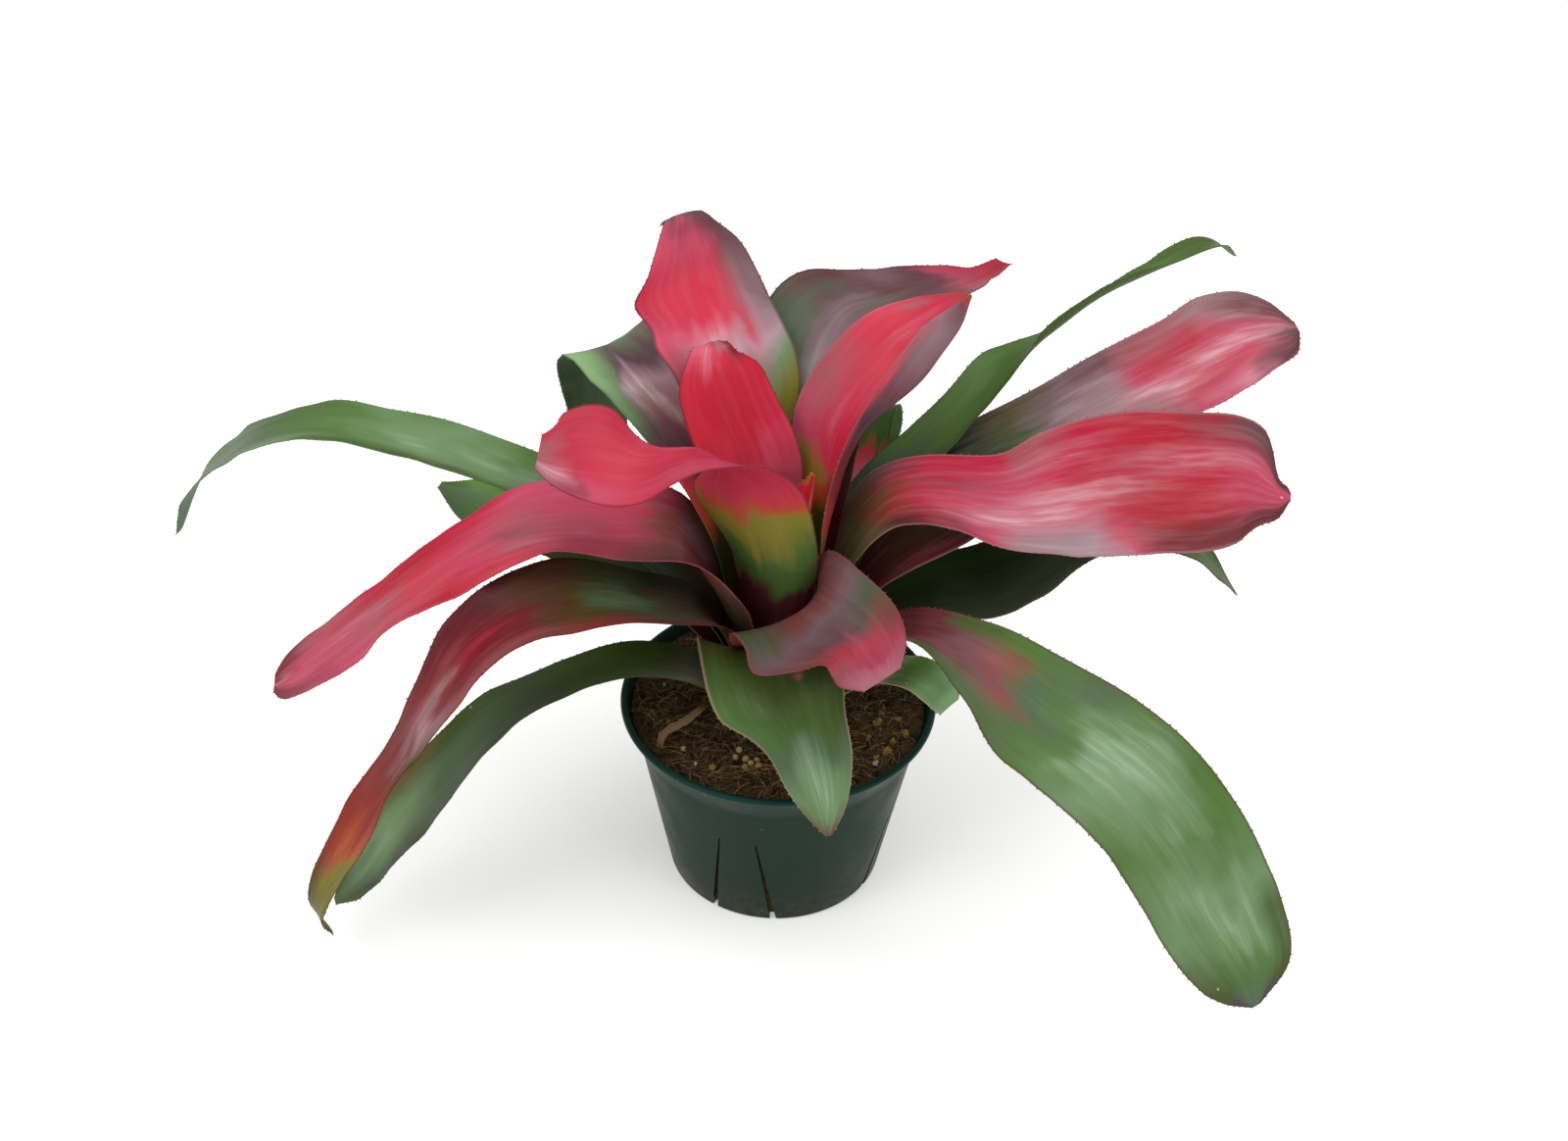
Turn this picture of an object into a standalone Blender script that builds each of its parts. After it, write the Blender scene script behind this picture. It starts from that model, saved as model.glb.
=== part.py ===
# A neoregelia bromeliad in a round plastic nursery pot: every leaf is its own closed blade, wrapped round a
# short cone of stem that stands in a plain hole in the potting mix. The front is the -Y side, and the origin
# is the centre of the pot's underside.
import math

import bpy
import numpy as np

# Pot, in metres
POT_HEIGHT = 0.100
RIM_RADIUS = 0.0762
COLLAR_Z = 0.086
COLLAR_RADIUS = 0.0685
BASE_RADIUS = 0.0530
BASE_EDGE = 0.0020
WALL = 0.0018
FLOOR = 0.0022
LIP = 0.0014
POT_SIDES = 72

# Slits at the pot's foot: pairs that lean apart towards the base
SLIT_PAIRS = 4
FIRST_PAIR_HEADING = 254
SLIT_TOP_Z = 0.060
SLIT_TOP_HALF_TURN = 8.0
SLIT_FOOT_HALF_TURN = 17.5
SLIT_FOOT_WIDTH = 0.0036
SLIT_TOP_WIDTH = 0.0006
SLIT_INNER_RADIUS = 0.0455
SLIT_OUTER_RADIUS = 0.0700

# Potting mix and stem
GAP = 0.0003
MIX_Z = 0.0900
MIX_EDGE_RISE = 0.0045
MIX_EDGE_RADIUS = 0.0710
MIX_SIDES = 48
HOLE_RADIUS = 0.0140
HOLE_FLOOR_Z = 0.0600
STEM_SIDES = 24
CHORD_ROOM = 0.90

# Leaves, counted from the innermost outwards: each starts a little lower and further out than the last
THICKNESS = 0.0008
FIRST_FOOT_OUT = 7.0
FOOT_OUT_STEP = 0.9
FIRST_FOOT_UP = 136.0
FOOT_UP_STEP = 1.8
FIRST_FLARE = 0.10
FLARE_STEP = 0.02
SHEATH_RISE = 16.0
MM = 0.001

# One entry for each leaf, in millimetres and degrees. The heading is the compass turn of the leaf from +X.
# The spine's points are (out, up, side) from the plant's axis, after the sheath. Width, cup, roll, swing,
# curl and trim are given at fractions of the leaf's length: cup bends both halves up, roll turns the blade
# about its spine, swing turns its heading, curl rolls one margin in and trim narrows one half.
LEAVES = {
    # Innermost red spear and the green strip in front of it
    "leaf_01": dict(
        heading=20, spine=[(10, 175), (11, 200), (14, 226)],
        width=[(0, 24), (0.5, 28), (0.8, 24), (1, 4)], cup=[(0, 60), (1, 60)], sheath=0.8, wrap=85),
    "leaf_02": dict(
        heading=300, spine=[(12, 172), (14, 190), (16, 212)],
        width=[(0, 24), (0.5, 30), (0.8, 22), (1, 3)], cup=[(0, 60), (1, 60)], sheath=0.8, wrap=80),
    # Upright saturated red leaf with a rounded pink top
    "leaf_03": dict(
        heading=118,
        spine=[(13, 170), (15, 200), (18, 231, 7), (23, 249, 13), (28, 265, 17), (33, 275, 18),
               (37, 279, 17), (46, 276, 13)],
        width=[(0, 30), (0.3, 42), (0.5, 52), (0.75, 49), (0.88, 42), (0.95, 31), (1, 8)],
        cup=[(0, 70), (0.5, 25), (1, 5)],
        trim_minus=[(0, 0.8), (0.4, 0.7), (0.55, 0.8), (0.75, 0.84), (0.86, 0.82), (0.91, 0.6),
                    (0.96, 0.4), (1, 0.5)],
        trim_plus=[(0, 1), (0.8, 1), (0.86, 1), (0.91, 0.74), (0.96, 0.4), (1, 0.5)], sheath=0.35,
        wrap=68),
    # Coral leaf whose near margin rolls right in
    "leaf_04": dict(
        heading=30,
        spine=[(17, 172), (23, 206), (32, 240, -1), (46, 263, -4), (61, 280, -6), (77, 290, -5),
               (91, 298, -2)], width=[(0, 28), (0.3, 42), (0.6, 60), (0.8, 54), (0.92, 34), (1, 6)],
        cup=[(0, 60), (0.5, 30), (1, 20)],
        curl_minus=[(0, 0), (0.3, 40), (0.5, 110), (0.7, 165), (0.88, 170), (1, 140)],
        swing=[(0, 0), (0.34, 0), (0.6, 26), (1, 26)],
        trim_plus=[(0, 0.8), (0.4, 0.7), (0.55, 0.95), (1, 1.05)],
        trim_minus=[(0, 0.75), (0.3, 0.75), (0.42, 0.62), (0.52, 0.48), (0.62, 0.58), (0.7, 0.9),
                    (0.8, 1.42), (0.9, 1.5), (1, 1.2)], sheath=0.3, wrap=60),
    # Tallest leaf, grey and pink, with its tip bent back
    "leaf_05": dict(
        heading=126,
        spine=[(20, 172), (27, 209), (35, 249), (54, 270), (72, 292), (79, 312), (82, 322), (97, 311)],
        width=[(0, 30), (0.3, 42), (0.55, 64), (0.75, 58), (0.85, 44), (0.92, 28), (0.96, 16), (1, 8)],
        cup=[(0, 60), (0.4, 20), (1, 0)], wave_plus=(3, 5, 0.2),
        trim_minus=[(0, 0.7), (0.35, 0.6), (0.55, 1), (0.75, 1.1), (0.84, 1.12), (0.9, 0.8),
                    (0.95, 0.4), (1, 0.5)],
        trim_plus=[(0, 1), (0.6, 0.94), (0.68, 0.98), (0.72, 0.96), (0.78, 1.26), (0.83, 1),
                   (0.88, 0.78), (0.92, 0.7), (0.96, 0.6), (1, 0.7)], sheath=0.3, wrap=66),
    # Broad leaf behind on the right, with a pinched pink tip
    "leaf_06": dict(
        heading=62,
        spine=[(23, 172), (32, 216), (53, 256, 7), (74, 271, 5), (99, 270, -3), (130, 266, -14),
               (161, 260, -21), (178, 259, -24)],
        width=[(0, 30), (0.3, 44), (0.55, 66), (0.7, 54), (0.86, 32), (0.93, 16), (1, 9)],
        cup=[(0, 60), (0.4, 40), (1, 20)],
        trim_plus=[(0, 0.7), (0.35, 0.7), (0.44, 0.8), (0.52, 1.12), (0.58, 1.15), (0.66, 1),
                   (0.72, 0.92), (0.8, 1), (1, 1)], sheath=0.3, wrap=66),
    # Front leaf: green below, then turned on edge and out to the left, pink on its outer face
    "leaf_07": dict(
        heading=248,
        spine=[(20, 165), (22, 190), (26, 221, -6), (31, 246, -12), (37, 257, -23), (43, 256, -34),
               (50, 252, -48), (59, 256, -65), (66, 257, -78), (69, 258, -86)],
        width=[(0, 32), (0.25, 48), (0.45, 58), (0.65, 52), (0.85, 48), (0.95, 36), (1, 18)],
        cup=[(0, 70), (0.4, 30), (0.6, 10), (1, 0)],
        roll=[(0, 0), (0.3, 0), (0.5, 30), (0.65, 20), (0.85, -24), (1, -15)],
        swing=[(0, 0), (0.3, 0), (0.55, -40), (0.7, -60), (1, -62)], wave_plus=(2, 4, 0.1),
        trim_minus=[(0, 1), (0.5, 1), (0.58, 0.6), (0.66, 0.2), (0.74, 0.26), (0.8, 0.62), (0.86, 1.08),
                    (0.94, 1.25), (1, 1.2)], sheath=0.35, wrap=72),
    # Broad red leaf to the right, notched at its tip
    "leaf_08": dict(
        heading=5,
        spine=[(24, 160), (32, 186), (47, 212), (67, 217), (102, 211), (128, 215), (157, 219),
               (184, 219), (209, 219), (225, 213), (234, 210)],
        width=[(0, 32), (0.2, 36), (0.42, 36), (0.53, 46), (0.63, 62), (0.77, 68), (0.88, 64),
               (0.95, 54), (0.98, 40), (1, 6)], cup=[(0, 60), (0.4, 30), (1, 8)],
        roll=[(0, 0), (0.3, 20), (0.5, 38), (1, 38)],
        trim_minus=[(0, 0.6), (0.12, 0.6), (0.25, 1), (0.85, 1), (0.92, 0.88), (0.96, 0.64), (1, 0.6)],
        trim_plus=[(0, 1), (0.86, 1), (0.93, 0.98), (0.955, 0.72), (0.98, 0.3), (1, 0.6)], sheath=0.25,
        wrap=58),
    # Dark leaf behind on the left, its tip hanging down behind
    "leaf_09": dict(
        heading=138,
        spine=[(24, 158), (34, 192), (67, 230), (95, 245), (110, 251), (122, 228, -6), (132, 194, -14),
               (134, 166, -24)], width=[(0, 32), (0.3, 46), (0.55, 62), (0.8, 46), (0.94, 24), (1, 5)],
        cup=[(0, 60), (0.4, 30), (1, 5)], sheath=0.25, wrap=65),
    # Rose leaf to the left with a blunt tip
    "leaf_10": dict(
        heading=188,
        spine=[(26, 156), (37, 181), (51, 202), (80, 206), (110, 207), (139, 196), (172, 173),
               (202, 150), (226, 132), (236, 126)],
        width=[(0, 32), (0.2, 44), (0.3, 54), (0.5, 62), (0.66, 46), (0.78, 40), (0.9, 38), (0.96, 35),
               (0.985, 26), (1, 12)], cup=[(0, 60), (0.4, 20), (1, 5)], wave_plus=(3, 4, 0.3),
        trim_plus=[(0, 1.1), (0.12, 1.3), (0.22, 1.6), (0.32, 1.3), (0.42, 1), (0.58, 1), (0.68, 1.18),
                   (0.9, 1.25), (1, 1.1)],
        trim_minus=[(0, 1), (0.6, 1), (0.72, 1.15), (0.85, 1.1), (1, 1.1)], sheath=0.25, wrap=65),
    # Longest leaf, narrow and green, twisted on edge two thirds of the way out
    "leaf_11": dict(
        heading=35,
        spine=[(26, 150), (38, 180), (57, 202), (78, 214), (103, 227), (130, 244), (171, 263),
               (203, 269), (234, 273), (253, 273), (267, 263)],
        width=[(0, 34), (0.2, 38), (0.4, 34), (0.6, 24), (0.7, 14), (0.8, 26), (0.92, 18), (1, 4)],
        cup=[(0, 60), (0.3, 50), (1, 20)], roll=[(0, 0), (0.5, 0), (0.65, -60), (0.8, -30), (1, 0)],
        trim_plus=[(0, 1), (0.2, 0.8), (0.36, 0.72), (0.46, 0.9), (0.56, 1.3), (0.66, 1.3), (0.8, 0.7),
                   (0.92, 1.1), (1, 1)],
        trim_minus=[(0, 1), (0.34, 1), (0.44, 0.75), (0.6, 0.65), (0.72, 1), (1, 1)], sheath=0.2,
        wrap=60),
    # Short front leaf, grey and rose, with a waved lower margin
    "leaf_12": dict(
        heading=300,
        spine=[(30, 148), (34, 164, -4), (35, 180, -8), (46, 182, -6), (64, 180, 1), (82, 168, 6)],
        width=[(0, 34), (0.28, 56), (0.45, 76), (0.6, 78), (0.8, 68), (0.93, 50), (1, 26)],
        cup=[(0, 70), (0.45, 75), (0.65, 50), (0.8, 25), (1, 15)],
        roll=[(0, 0), (0.4, 15), (0.6, 18), (1, 5)], swing=[(0, 0), (0.5, 0), (1, 15)],
        trim_plus=[(0, 0.4), (0.2, 0.36), (0.36, 0.52), (0.5, 0.74), (0.8, 0.72), (1, 0.75)],
        trim_minus=[(0, 0.8), (0.4, 0.8), (0.5, 0.95), (0.62, 1.05), (0.69, 1.3), (0.76, 1),
                    (0.83, 0.62), (0.89, 0.72), (0.95, 0.95), (1, 1)],
        curl_minus=[(0, 0), (0.42, 0), (0.52, -16), (0.65, -26), (0.8, -10), (1, 0)],
        wave_minus=(3, 3, 0.1), sheath=0.35, wrap=55),
    # Dark olive leaf that arches down to the left, hooked at its tip
    "leaf_13": dict(
        heading=210,
        spine=[(29, 146), (41, 165), (67, 177), (100, 190), (132, 190), (154, 180), (172, 160),
               (189, 134), (206, 114), (225, 88), (236, 67), (231, 50)],
        width=[(0, 34), (0.2, 44), (0.38, 60), (0.52, 50), (0.64, 32), (0.8, 30), (0.93, 20), (1, 5)],
        cup=[(0, 60), (0.3, 30), (1, 10)],
        trim_plus=[(0, 1), (0.36, 0.84), (0.5, 0.56), (0.6, 0.82), (0.68, 0.45), (0.74, 0.3),
                   (0.8, 0.8), (1, 1)], sheath=0.2, wrap=60),
    # Upper right leaf, dark below and pink along its length
    "leaf_14": dict(
        heading=25,
        spine=[(31, 148), (46, 176), (76, 198), (106, 208), (142, 219), (178, 231), (215, 240),
               (242, 245), (263, 245), (272, 245)],
        width=[(0, 34), (0.25, 38), (0.45, 36), (0.58, 40), (0.7, 50), (0.84, 60), (0.93, 50),
               (0.975, 34), (1, 6)], cup=[(0, 60), (0.4, 30), (1, 5)],
        roll=[(0, 0), (0.4, 20), (1, 25)],
        trim_plus=[(0, 1), (0.3, 1), (0.42, 1.25), (0.56, 1.15), (0.7, 0.95), (0.8, 0.86), (0.88, 1),
                   (1, 1)],
        trim_minus=[(0, 1), (0.12, 1), (0.22, 1.7), (0.34, 2.1), (0.44, 1.8), (0.56, 1), (0.75, 1),
                    (0.88, 0.84), (0.96, 0.8), (1, 1)], sheath=0.22, wrap=62),
    # Long green leaf that arches out to the far left
    "leaf_15": dict(
        heading=168,
        spine=[(31, 144), (53, 166), (98, 190), (130, 201), (167, 212), (192, 215), (220, 218),
               (253, 207), (279, 186), (295, 167), (305, 142)],
        width=[(0, 34), (0.2, 44), (0.4, 46), (0.7, 34), (0.9, 24), (1, 7)],
        cup=[(0, 60), (0.3, 50), (0.6, 40), (0.75, 10), (1, 10)],
        trim_plus=[(0, 1), (0.25, 0.6), (0.41, 0.6), (0.52, 1), (1, 1)],
        trim_minus=[(0, 1), (0.76, 1), (0.84, 1.6), (0.93, 1.9), (1, 1.5)], sheath=0.2, wrap=60),
    # Broad green leaf that arches down to the right in front
    "leaf_16": dict(
        heading=322,
        spine=[(34, 143), (72, 175), (110, 179), (142, 165, 3), (170, 159, 4), (194, 151, 4),
               (220, 132, 3), (240, 109, 2), (259, 88, 1), (266, 71)],
        width=[(0, 36), (0.15, 34), (0.3, 32), (0.4, 42), (0.5, 56), (0.65, 60), (0.85, 60), (0.93, 50),
               (0.97, 34), (1, 5)], cup=[(0, 60), (0.3, 30), (1, 5)],
        roll=[(0, 0), (0.3, 10), (0.5, 20), (1, 20)],
        trim_minus=[(0, 0.7), (0.24, 0.4), (0.3, 0.45), (0.4, 1), (0.55, 1.08), (0.72, 1.06), (1, 1)],
        sheath=0.2, wrap=54),
    # Dark leaf at the back, its end hanging
    "leaf_17": dict(
        heading=66,
        spine=[(34, 142), (46, 170), (75, 191), (83, 208), (90, 216), (104, 194), (112, 168)],
        width=[(0, 36), (0.3, 40), (0.6, 40), (0.85, 30), (1, 5)], cup=[(0, 60), (0.3, 40), (1, 10)],
        sheath=0.2, wrap=58),
    # Short leaf on the left, under the long green one
    "leaf_18": dict(
        heading=164, spine=[(35, 136), (60, 155), (101, 168), (136, 175), (158, 180), (171, 185)],
        width=[(0, 36), (0.3, 42), (0.6, 46), (0.88, 38), (1, 5)], cup=[(0, 60), (0.3, 30), (1, 10)],
        sheath=0.2, wrap=56),
    # Dark leaf on the right, its tip turned down
    "leaf_19": dict(
        heading=8,
        spine=[(36, 134), (50, 146), (72, 154), (95, 157), (116, 168), (139, 182), (167, 184),
               (195, 172), (211, 158), (221, 146)],
        width=[(0, 36), (0.2, 44), (0.4, 58), (0.55, 50), (0.7, 36), (0.9, 28), (1, 4)],
        cup=[(0, 60), (0.3, 30), (1, 10)],
        trim_plus=[(0, 1), (0.7, 1), (0.82, 1.4), (0.94, 1.6), (1, 1)],
        trim_minus=[(0, 1), (0.36, 1), (0.5, 1.2), (0.64, 0.9), (0.85, 0.5), (1, 1)], sheath=0.2,
        wrap=56),
    # Green leaf that folds down in front over the rim, with a dry notch in its left margin
    "leaf_20": dict(
        heading=270,
        spine=[(34, 130), (38, 149, -5), (44, 162, -6), (56, 162, -2), (70, 152, 5), (82, 138, 13),
               (94, 120, 20), (102, 105, 24)],
        width=[(0, 38), (0.35, 60), (0.55, 64), (0.7, 52), (0.82, 38), (0.93, 20), (1, 3)],
        cup=[(0, 60), (0.4, 20), (1, 10)],
        trim_plus=[(0, 0.7), (0.4, 0.75), (0.52, 0.98), (0.62, 0.88), (0.7, 0.84), (0.8, 0.92), (1, 1)],
        trim_minus=[(0, 1), (0.58, 1), (0.66, 0.76), (0.74, 0.68), (0.86, 0.78), (1, 0.8)], sheath=0.3,
        wrap=46),
    # Grey green leaf that arches down to the left in front
    "leaf_21": dict(
        heading=200,
        spine=[(37, 121), (54, 132), (77, 138), (108, 134), (137, 121), (165, 95), (190, 69), (209, 43),
               (221, 28)],
        width=[(0, 36), (0.22, 32), (0.36, 28), (0.5, 31), (0.8, 43), (0.93, 30), (1, 5)],
        cup=[(0, 60), (0.3, 30), (1, 5)],
        trim_plus=[(0, 1), (0.5, 1), (0.7, 1.28), (0.86, 1.12), (1, 1)],
        trim_minus=[(0, 1), (0.3, 0.85), (0.42, 0.85), (0.52, 1.08), (0.62, 1.05), (1, 1)], sheath=0.2,
        wrap=45),
    # Small leaf low on the right with a torn end
    "leaf_22": dict(
        heading=322, spine=[(37, 119), (52, 137), (69, 151), (83, 155), (93, 153), (97, 146)],
        width=[(0, 36), (0.3, 36), (0.6, 30), (0.8, 24), (0.93, 24), (1, 14)],
        cup=[(0, 60), (0.4, 20), (1, 10)], sheath=0.3, wrap=52),
    # Low leaf at the back
    "leaf_23": dict(
        heading=95, spine=[(42, 124), (62, 150), (120, 168), (180, 152), (214, 120)],
        width=[(0, 36), (0.3, 42), (0.6, 44), (0.85, 32), (1, 5)], cup=[(0, 60), (0.3, 30), (1, 10)],
        sheath=0.2, wrap=52),
}

# Colours of the leaves in turn, as linear red, green and blue
LEAF_COLOURS = {
    "leaf_01": (0.36, 0.02, 0.02),
    "leaf_02": (0.10, 0.16, 0.02),
    "leaf_03": (0.45, 0.02, 0.04),
    "leaf_04": (0.45, 0.05, 0.04),
    "leaf_05": (0.22, 0.10, 0.11),
    "leaf_06": (0.17, 0.06, 0.06),
    "leaf_07": (0.42, 0.06, 0.05),
    "leaf_08": (0.36, 0.04, 0.05),
    "leaf_09": (0.06, 0.06, 0.05),
    "leaf_10": (0.36, 0.05, 0.06),
    "leaf_11": (0.09, 0.16, 0.04),
    "leaf_12": (0.25, 0.11, 0.10),
    "leaf_13": (0.07, 0.06, 0.03),
    "leaf_14": (0.20, 0.05, 0.06),
    "leaf_15": (0.08, 0.15, 0.06),
    "leaf_16": (0.12, 0.20, 0.09),
    "leaf_17": (0.04, 0.07, 0.02),
    "leaf_18": (0.03, 0.04, 0.02),
    "leaf_19": (0.04, 0.06, 0.02),
    "leaf_20": (0.13, 0.20, 0.07),
    "leaf_21": (0.10, 0.17, 0.06),
    "leaf_22": (0.11, 0.18, 0.06),
    "leaf_23": (0.05, 0.10, 0.03),
}


# General helpers
def clear_scene():
    for thing in list(bpy.data.objects):
        bpy.data.objects.remove(thing, do_unlink=True)


def principled(name, colour, roughness):
    material = bpy.data.materials.new(name)
    material.use_nodes = True
    shader = material.node_tree.nodes["Principled BSDF"]
    shader.inputs["Base Color"].default_value = (*colour, 1.0)
    shader.inputs["Roughness"].default_value = roughness
    shader.inputs["Metallic"].default_value = 0.0
    return material


def object_from(name, points, faces, material, parent, sharp_degrees=40):
    mesh = bpy.data.meshes.new(name)
    mesh.from_pydata([tuple(p) for p in points], [], faces)
    mesh.validate()
    mesh.materials.append(material)
    mesh.shade_smooth()
    mesh.set_sharp_from_angle(angle=math.radians(sharp_degrees))
    thing = bpy.data.objects.new(name, mesh)
    thing.parent = parent
    bpy.context.scene.collection.objects.link(thing)
    return thing


def turned(profile, sides):
    # Rings of points for a profile of (radius, height), and the faces between the rings
    points = []
    for radius, height in profile:
        for k in range(sides):
            turn = 2 * math.pi * k / sides
            points.append((radius * math.cos(turn), radius * math.sin(turn), height))
    faces = []
    for ring in range(len(profile) - 1):
        for k in range(sides):
            after = (k + 1) % sides
            low, high = ring * sides, (ring + 1) * sides
            faces.append((low + k, low + after, high + after, high + k))
    return points, faces


def closed_turning(profile, sides):
    # A profile that runs from the axis at the bottom, up the outside and back to the axis at the top
    points, faces = turned(profile, sides)
    last = (len(profile) - 1) * sides
    faces.append(tuple(reversed(range(sides))))
    faces.append(tuple(range(last, last + sides)))
    return points, faces


# Curves through a few given stations
def through(keys, at):
    keys = np.array(keys, float)
    stations = keys[:, 0]
    values = keys[:, 1:]
    last = len(stations) - 1
    slopes = np.zeros_like(values)
    for k in range(last + 1):
        before = max(k - 1, 0)
        after = min(k + 1, last)
        slopes[k] = (values[after] - values[before]) / (stations[after] - stations[before])
    at = np.clip(at, stations[0], stations[-1])
    k = np.clip(np.searchsorted(stations, at, side="right") - 1, 0, last - 1)
    span = (stations[k + 1] - stations[k])[:, None]
    q = (at - stations[k])[:, None] / span
    rise = q * q * (3 - 2 * q)
    start_pull = (q ** 3 - 2 * q ** 2 + q) * span * slopes[k]
    end_pull = (q ** 3 - q ** 2) * span * slopes[k + 1]
    return values[k] * (1 - rise) + values[k + 1] * rise + start_pull + end_pull


def station_values(leaf, key, at, default):
    if key not in leaf:
        return np.full(len(at), float(default))
    return through(leaf[key], at)[:, 0]


def even_path(points, count):
    # The smooth curve through the points, as points at even steps of its length
    points = np.array(points, float)
    reach = np.concatenate([[0], np.cumsum(np.linalg.norm(np.diff(points, axis=0), axis=1))])
    dense = through(np.column_stack([reach, points]), np.linspace(0, reach[-1], 400))
    length = np.concatenate([[0], np.cumsum(np.linalg.norm(np.diff(dense, axis=0), axis=1))])
    steps = np.linspace(0, length[-1], count)
    return np.stack([np.interp(steps, length, dense[:, k]) for k in range(3)], -1), length[-1]


def unit(vectors):
    return vectors / np.maximum(np.linalg.norm(vectors, axis=-1, keepdims=True), 1e-9)


def eased(x):
    x = np.clip(x, 0, 1)
    return x * x * (3 - 2 * x)


# Leaves
def leaf_spine(leaf, order):
    # The sheath's two stations, then the blade's own, as (out, up, side)
    foot_out = FIRST_FOOT_OUT + FOOT_OUT_STEP * order
    foot_up = FIRST_FOOT_UP - FOOT_UP_STEP * order
    flare = FIRST_FLARE + FLARE_STEP * order
    sheath = [(foot_out, foot_up, 0), (foot_out + flare * SHEATH_RISE, foot_up + SHEATH_RISE, 0)]
    blade = [(*station, 0)[:3] for station in leaf["spine"]]
    return np.array(sheath + blade, float) * MM


def half_section(bend, curl, columns):
    # One half of the cross section from the midrib out, for a half width of 1
    count = 24 * columns
    u = (np.arange(count) + 0.5) / count
    inward = np.clip((u - 0.1) / 0.9, 0, 1) ** 1.3
    turn = bend[:, None] * u[None] + curl[:, None] * inward[None]
    start = np.zeros((len(bend), 1))
    across = np.concatenate([start, np.cumsum(np.cos(turn), 1) / count], 1)
    lift = np.concatenate([start, np.cumsum(np.sin(turn), 1) / count], 1)
    at = np.linspace(0, count, columns + 1).astype(int)
    return across[:, at], lift[:, at]


def leaf_surface(leaf, order, rows, half_columns):
    # The blade's middle surface: rows run from foot to tip, columns from the minus to the plus margin
    heading = math.radians(leaf["heading"])
    out_way = np.array([math.cos(heading), math.sin(heading), 0])
    side_way = np.array([-math.sin(heading), math.cos(heading), 0])
    stations = leaf_spine(leaf, order)
    upward = np.array([0, 0, 1.0])
    line = stations[:, 0:1] * out_way + stations[:, 2:3] * side_way + stations[:, 1:2] * upward
    dense, length = even_path(line, 401)
    t = 1 - (1 - np.linspace(0, 1, rows + 1)) ** 1.15
    place = t * 400
    spine = np.stack([np.interp(place, np.arange(401), dense[:, k]) for k in range(3)], -1)
    slope = np.gradient(dense, axis=0)
    along = unit(np.stack([np.interp(place, np.arange(401), slope[:, k]) for k in range(3)], -1))

    turned_heading = heading + np.radians(station_values(leaf, "swing", t, 0))
    level = np.stack([-np.sin(turned_heading), np.cos(turned_heading), 0 * turned_heading], -1)
    across = unit(level - np.sum(along * level, 1)[:, None] * along)
    above = np.cross(along, across)
    roll = np.radians(station_values(leaf, "roll", t, 0))[:, None]
    rolled = across * np.cos(roll) + above * np.sin(roll)
    above = above * np.cos(roll) - across * np.sin(roll)
    across = rolled

    half = np.maximum(station_values(leaf, "width", t, 40) / 2 * MM, 0.0004)
    cup = np.radians(station_values(leaf, "cup", t, 0))
    plus_x, plus_y = half_section(cup, np.radians(station_values(leaf, "curl_plus", t, 0)), half_columns)
    minus_x, minus_y = half_section(cup, np.radians(station_values(leaf, "curl_minus", t, 0)), half_columns)
    plus_trim = station_values(leaf, "trim_plus", t, 1)[:, None]
    minus_trim = station_values(leaf, "trim_minus", t, 1)[:, None]
    x = np.concatenate([-minus_x[:, ::-1] * minus_trim, plus_x[:, 1:] * plus_trim], 1)
    y = np.concatenate([minus_y[:, ::-1] * minus_trim, plus_y[:, 1:] * plus_trim], 1)
    offset = x[..., None] * across[:, None] + y[..., None] * above[:, None]
    blade = spine[:, None] + half[:, None, None] * offset

    s = np.linspace(-1, 1, 2 * half_columns + 1)
    for key, side in (("wave_plus", 1), ("wave_minus", -1)):
        if key in leaf:
            height, count, phase = leaf[key]
            margin = np.clip(side * s, 0, 1) ** 2.2
            middle = np.sin(np.pi * np.clip((t - 0.2) / 0.8, 0, 1)) ** 0.7
            wave = height * MM * np.sin(2 * np.pi * (count * t + phase)) * middle
            blade += wave[:, None, None] * margin[None, :, None] * above[:, None]

    # Near the foot the leaf is a sector of a shell round the plant's axis
    out = spine @ out_way
    side = spine @ side_way
    wrap = np.minimum(half / np.maximum(out, 0.004), math.radians(leaf["wrap"]))
    trim = np.where(s[None] > 0, plus_trim, minus_trim)
    turn = heading + s[None] * wrap[:, None] * trim
    shell = np.stack([
        out[:, None] * np.cos(turn),
        out[:, None] * np.sin(turn),
        np.repeat(spine[:, 2:3], len(s), 1),
    ], -1) + (side[:, None] * side_way)[:, None]
    free = eased((t - leaf["sheath"] * 0.35) / (leaf["sheath"] * 1.3))[:, None, None]
    return shell * (1 - free) + blade * free, length


def leaf_solid(surface, thickness):
    # Both faces of the blade, with the same diagonals, and the strips that close its edge
    rows, columns = surface.shape[0] - 1, surface.shape[1] - 1
    normal = unit(np.cross(np.gradient(surface, axis=0), np.gradient(surface, axis=1)))
    upper = surface + normal * thickness / 2
    lower = surface - normal * thickness / 2
    points = np.concatenate([upper.reshape(-1, 3), lower.reshape(-1, 3)])
    below = (rows + 1) * (columns + 1)

    def at(row, column):
        return row * (columns + 1) + column

    faces = []
    for row in range(rows):
        for column in range(columns):
            a, b = at(row, column), at(row + 1, column)
            c, d = at(row + 1, column + 1), at(row, column + 1)
            faces += [(a, b, c), (a, c, d)]
            faces += [(below + a, below + c, below + b), (below + a, below + d, below + c)]
    border = [at(0, column) for column in range(columns)]
    border += [at(row, columns) for row in range(rows)]
    border += [at(rows, column) for column in range(columns, 0, -1)]
    border += [at(row, 0) for row in range(rows, 0, -1)]
    for k, a in enumerate(border):
        b = border[(k + 1) % len(border)]
        faces += [(a, b, below + b), (a, below + b, below + a)]
    return points, faces


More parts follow.
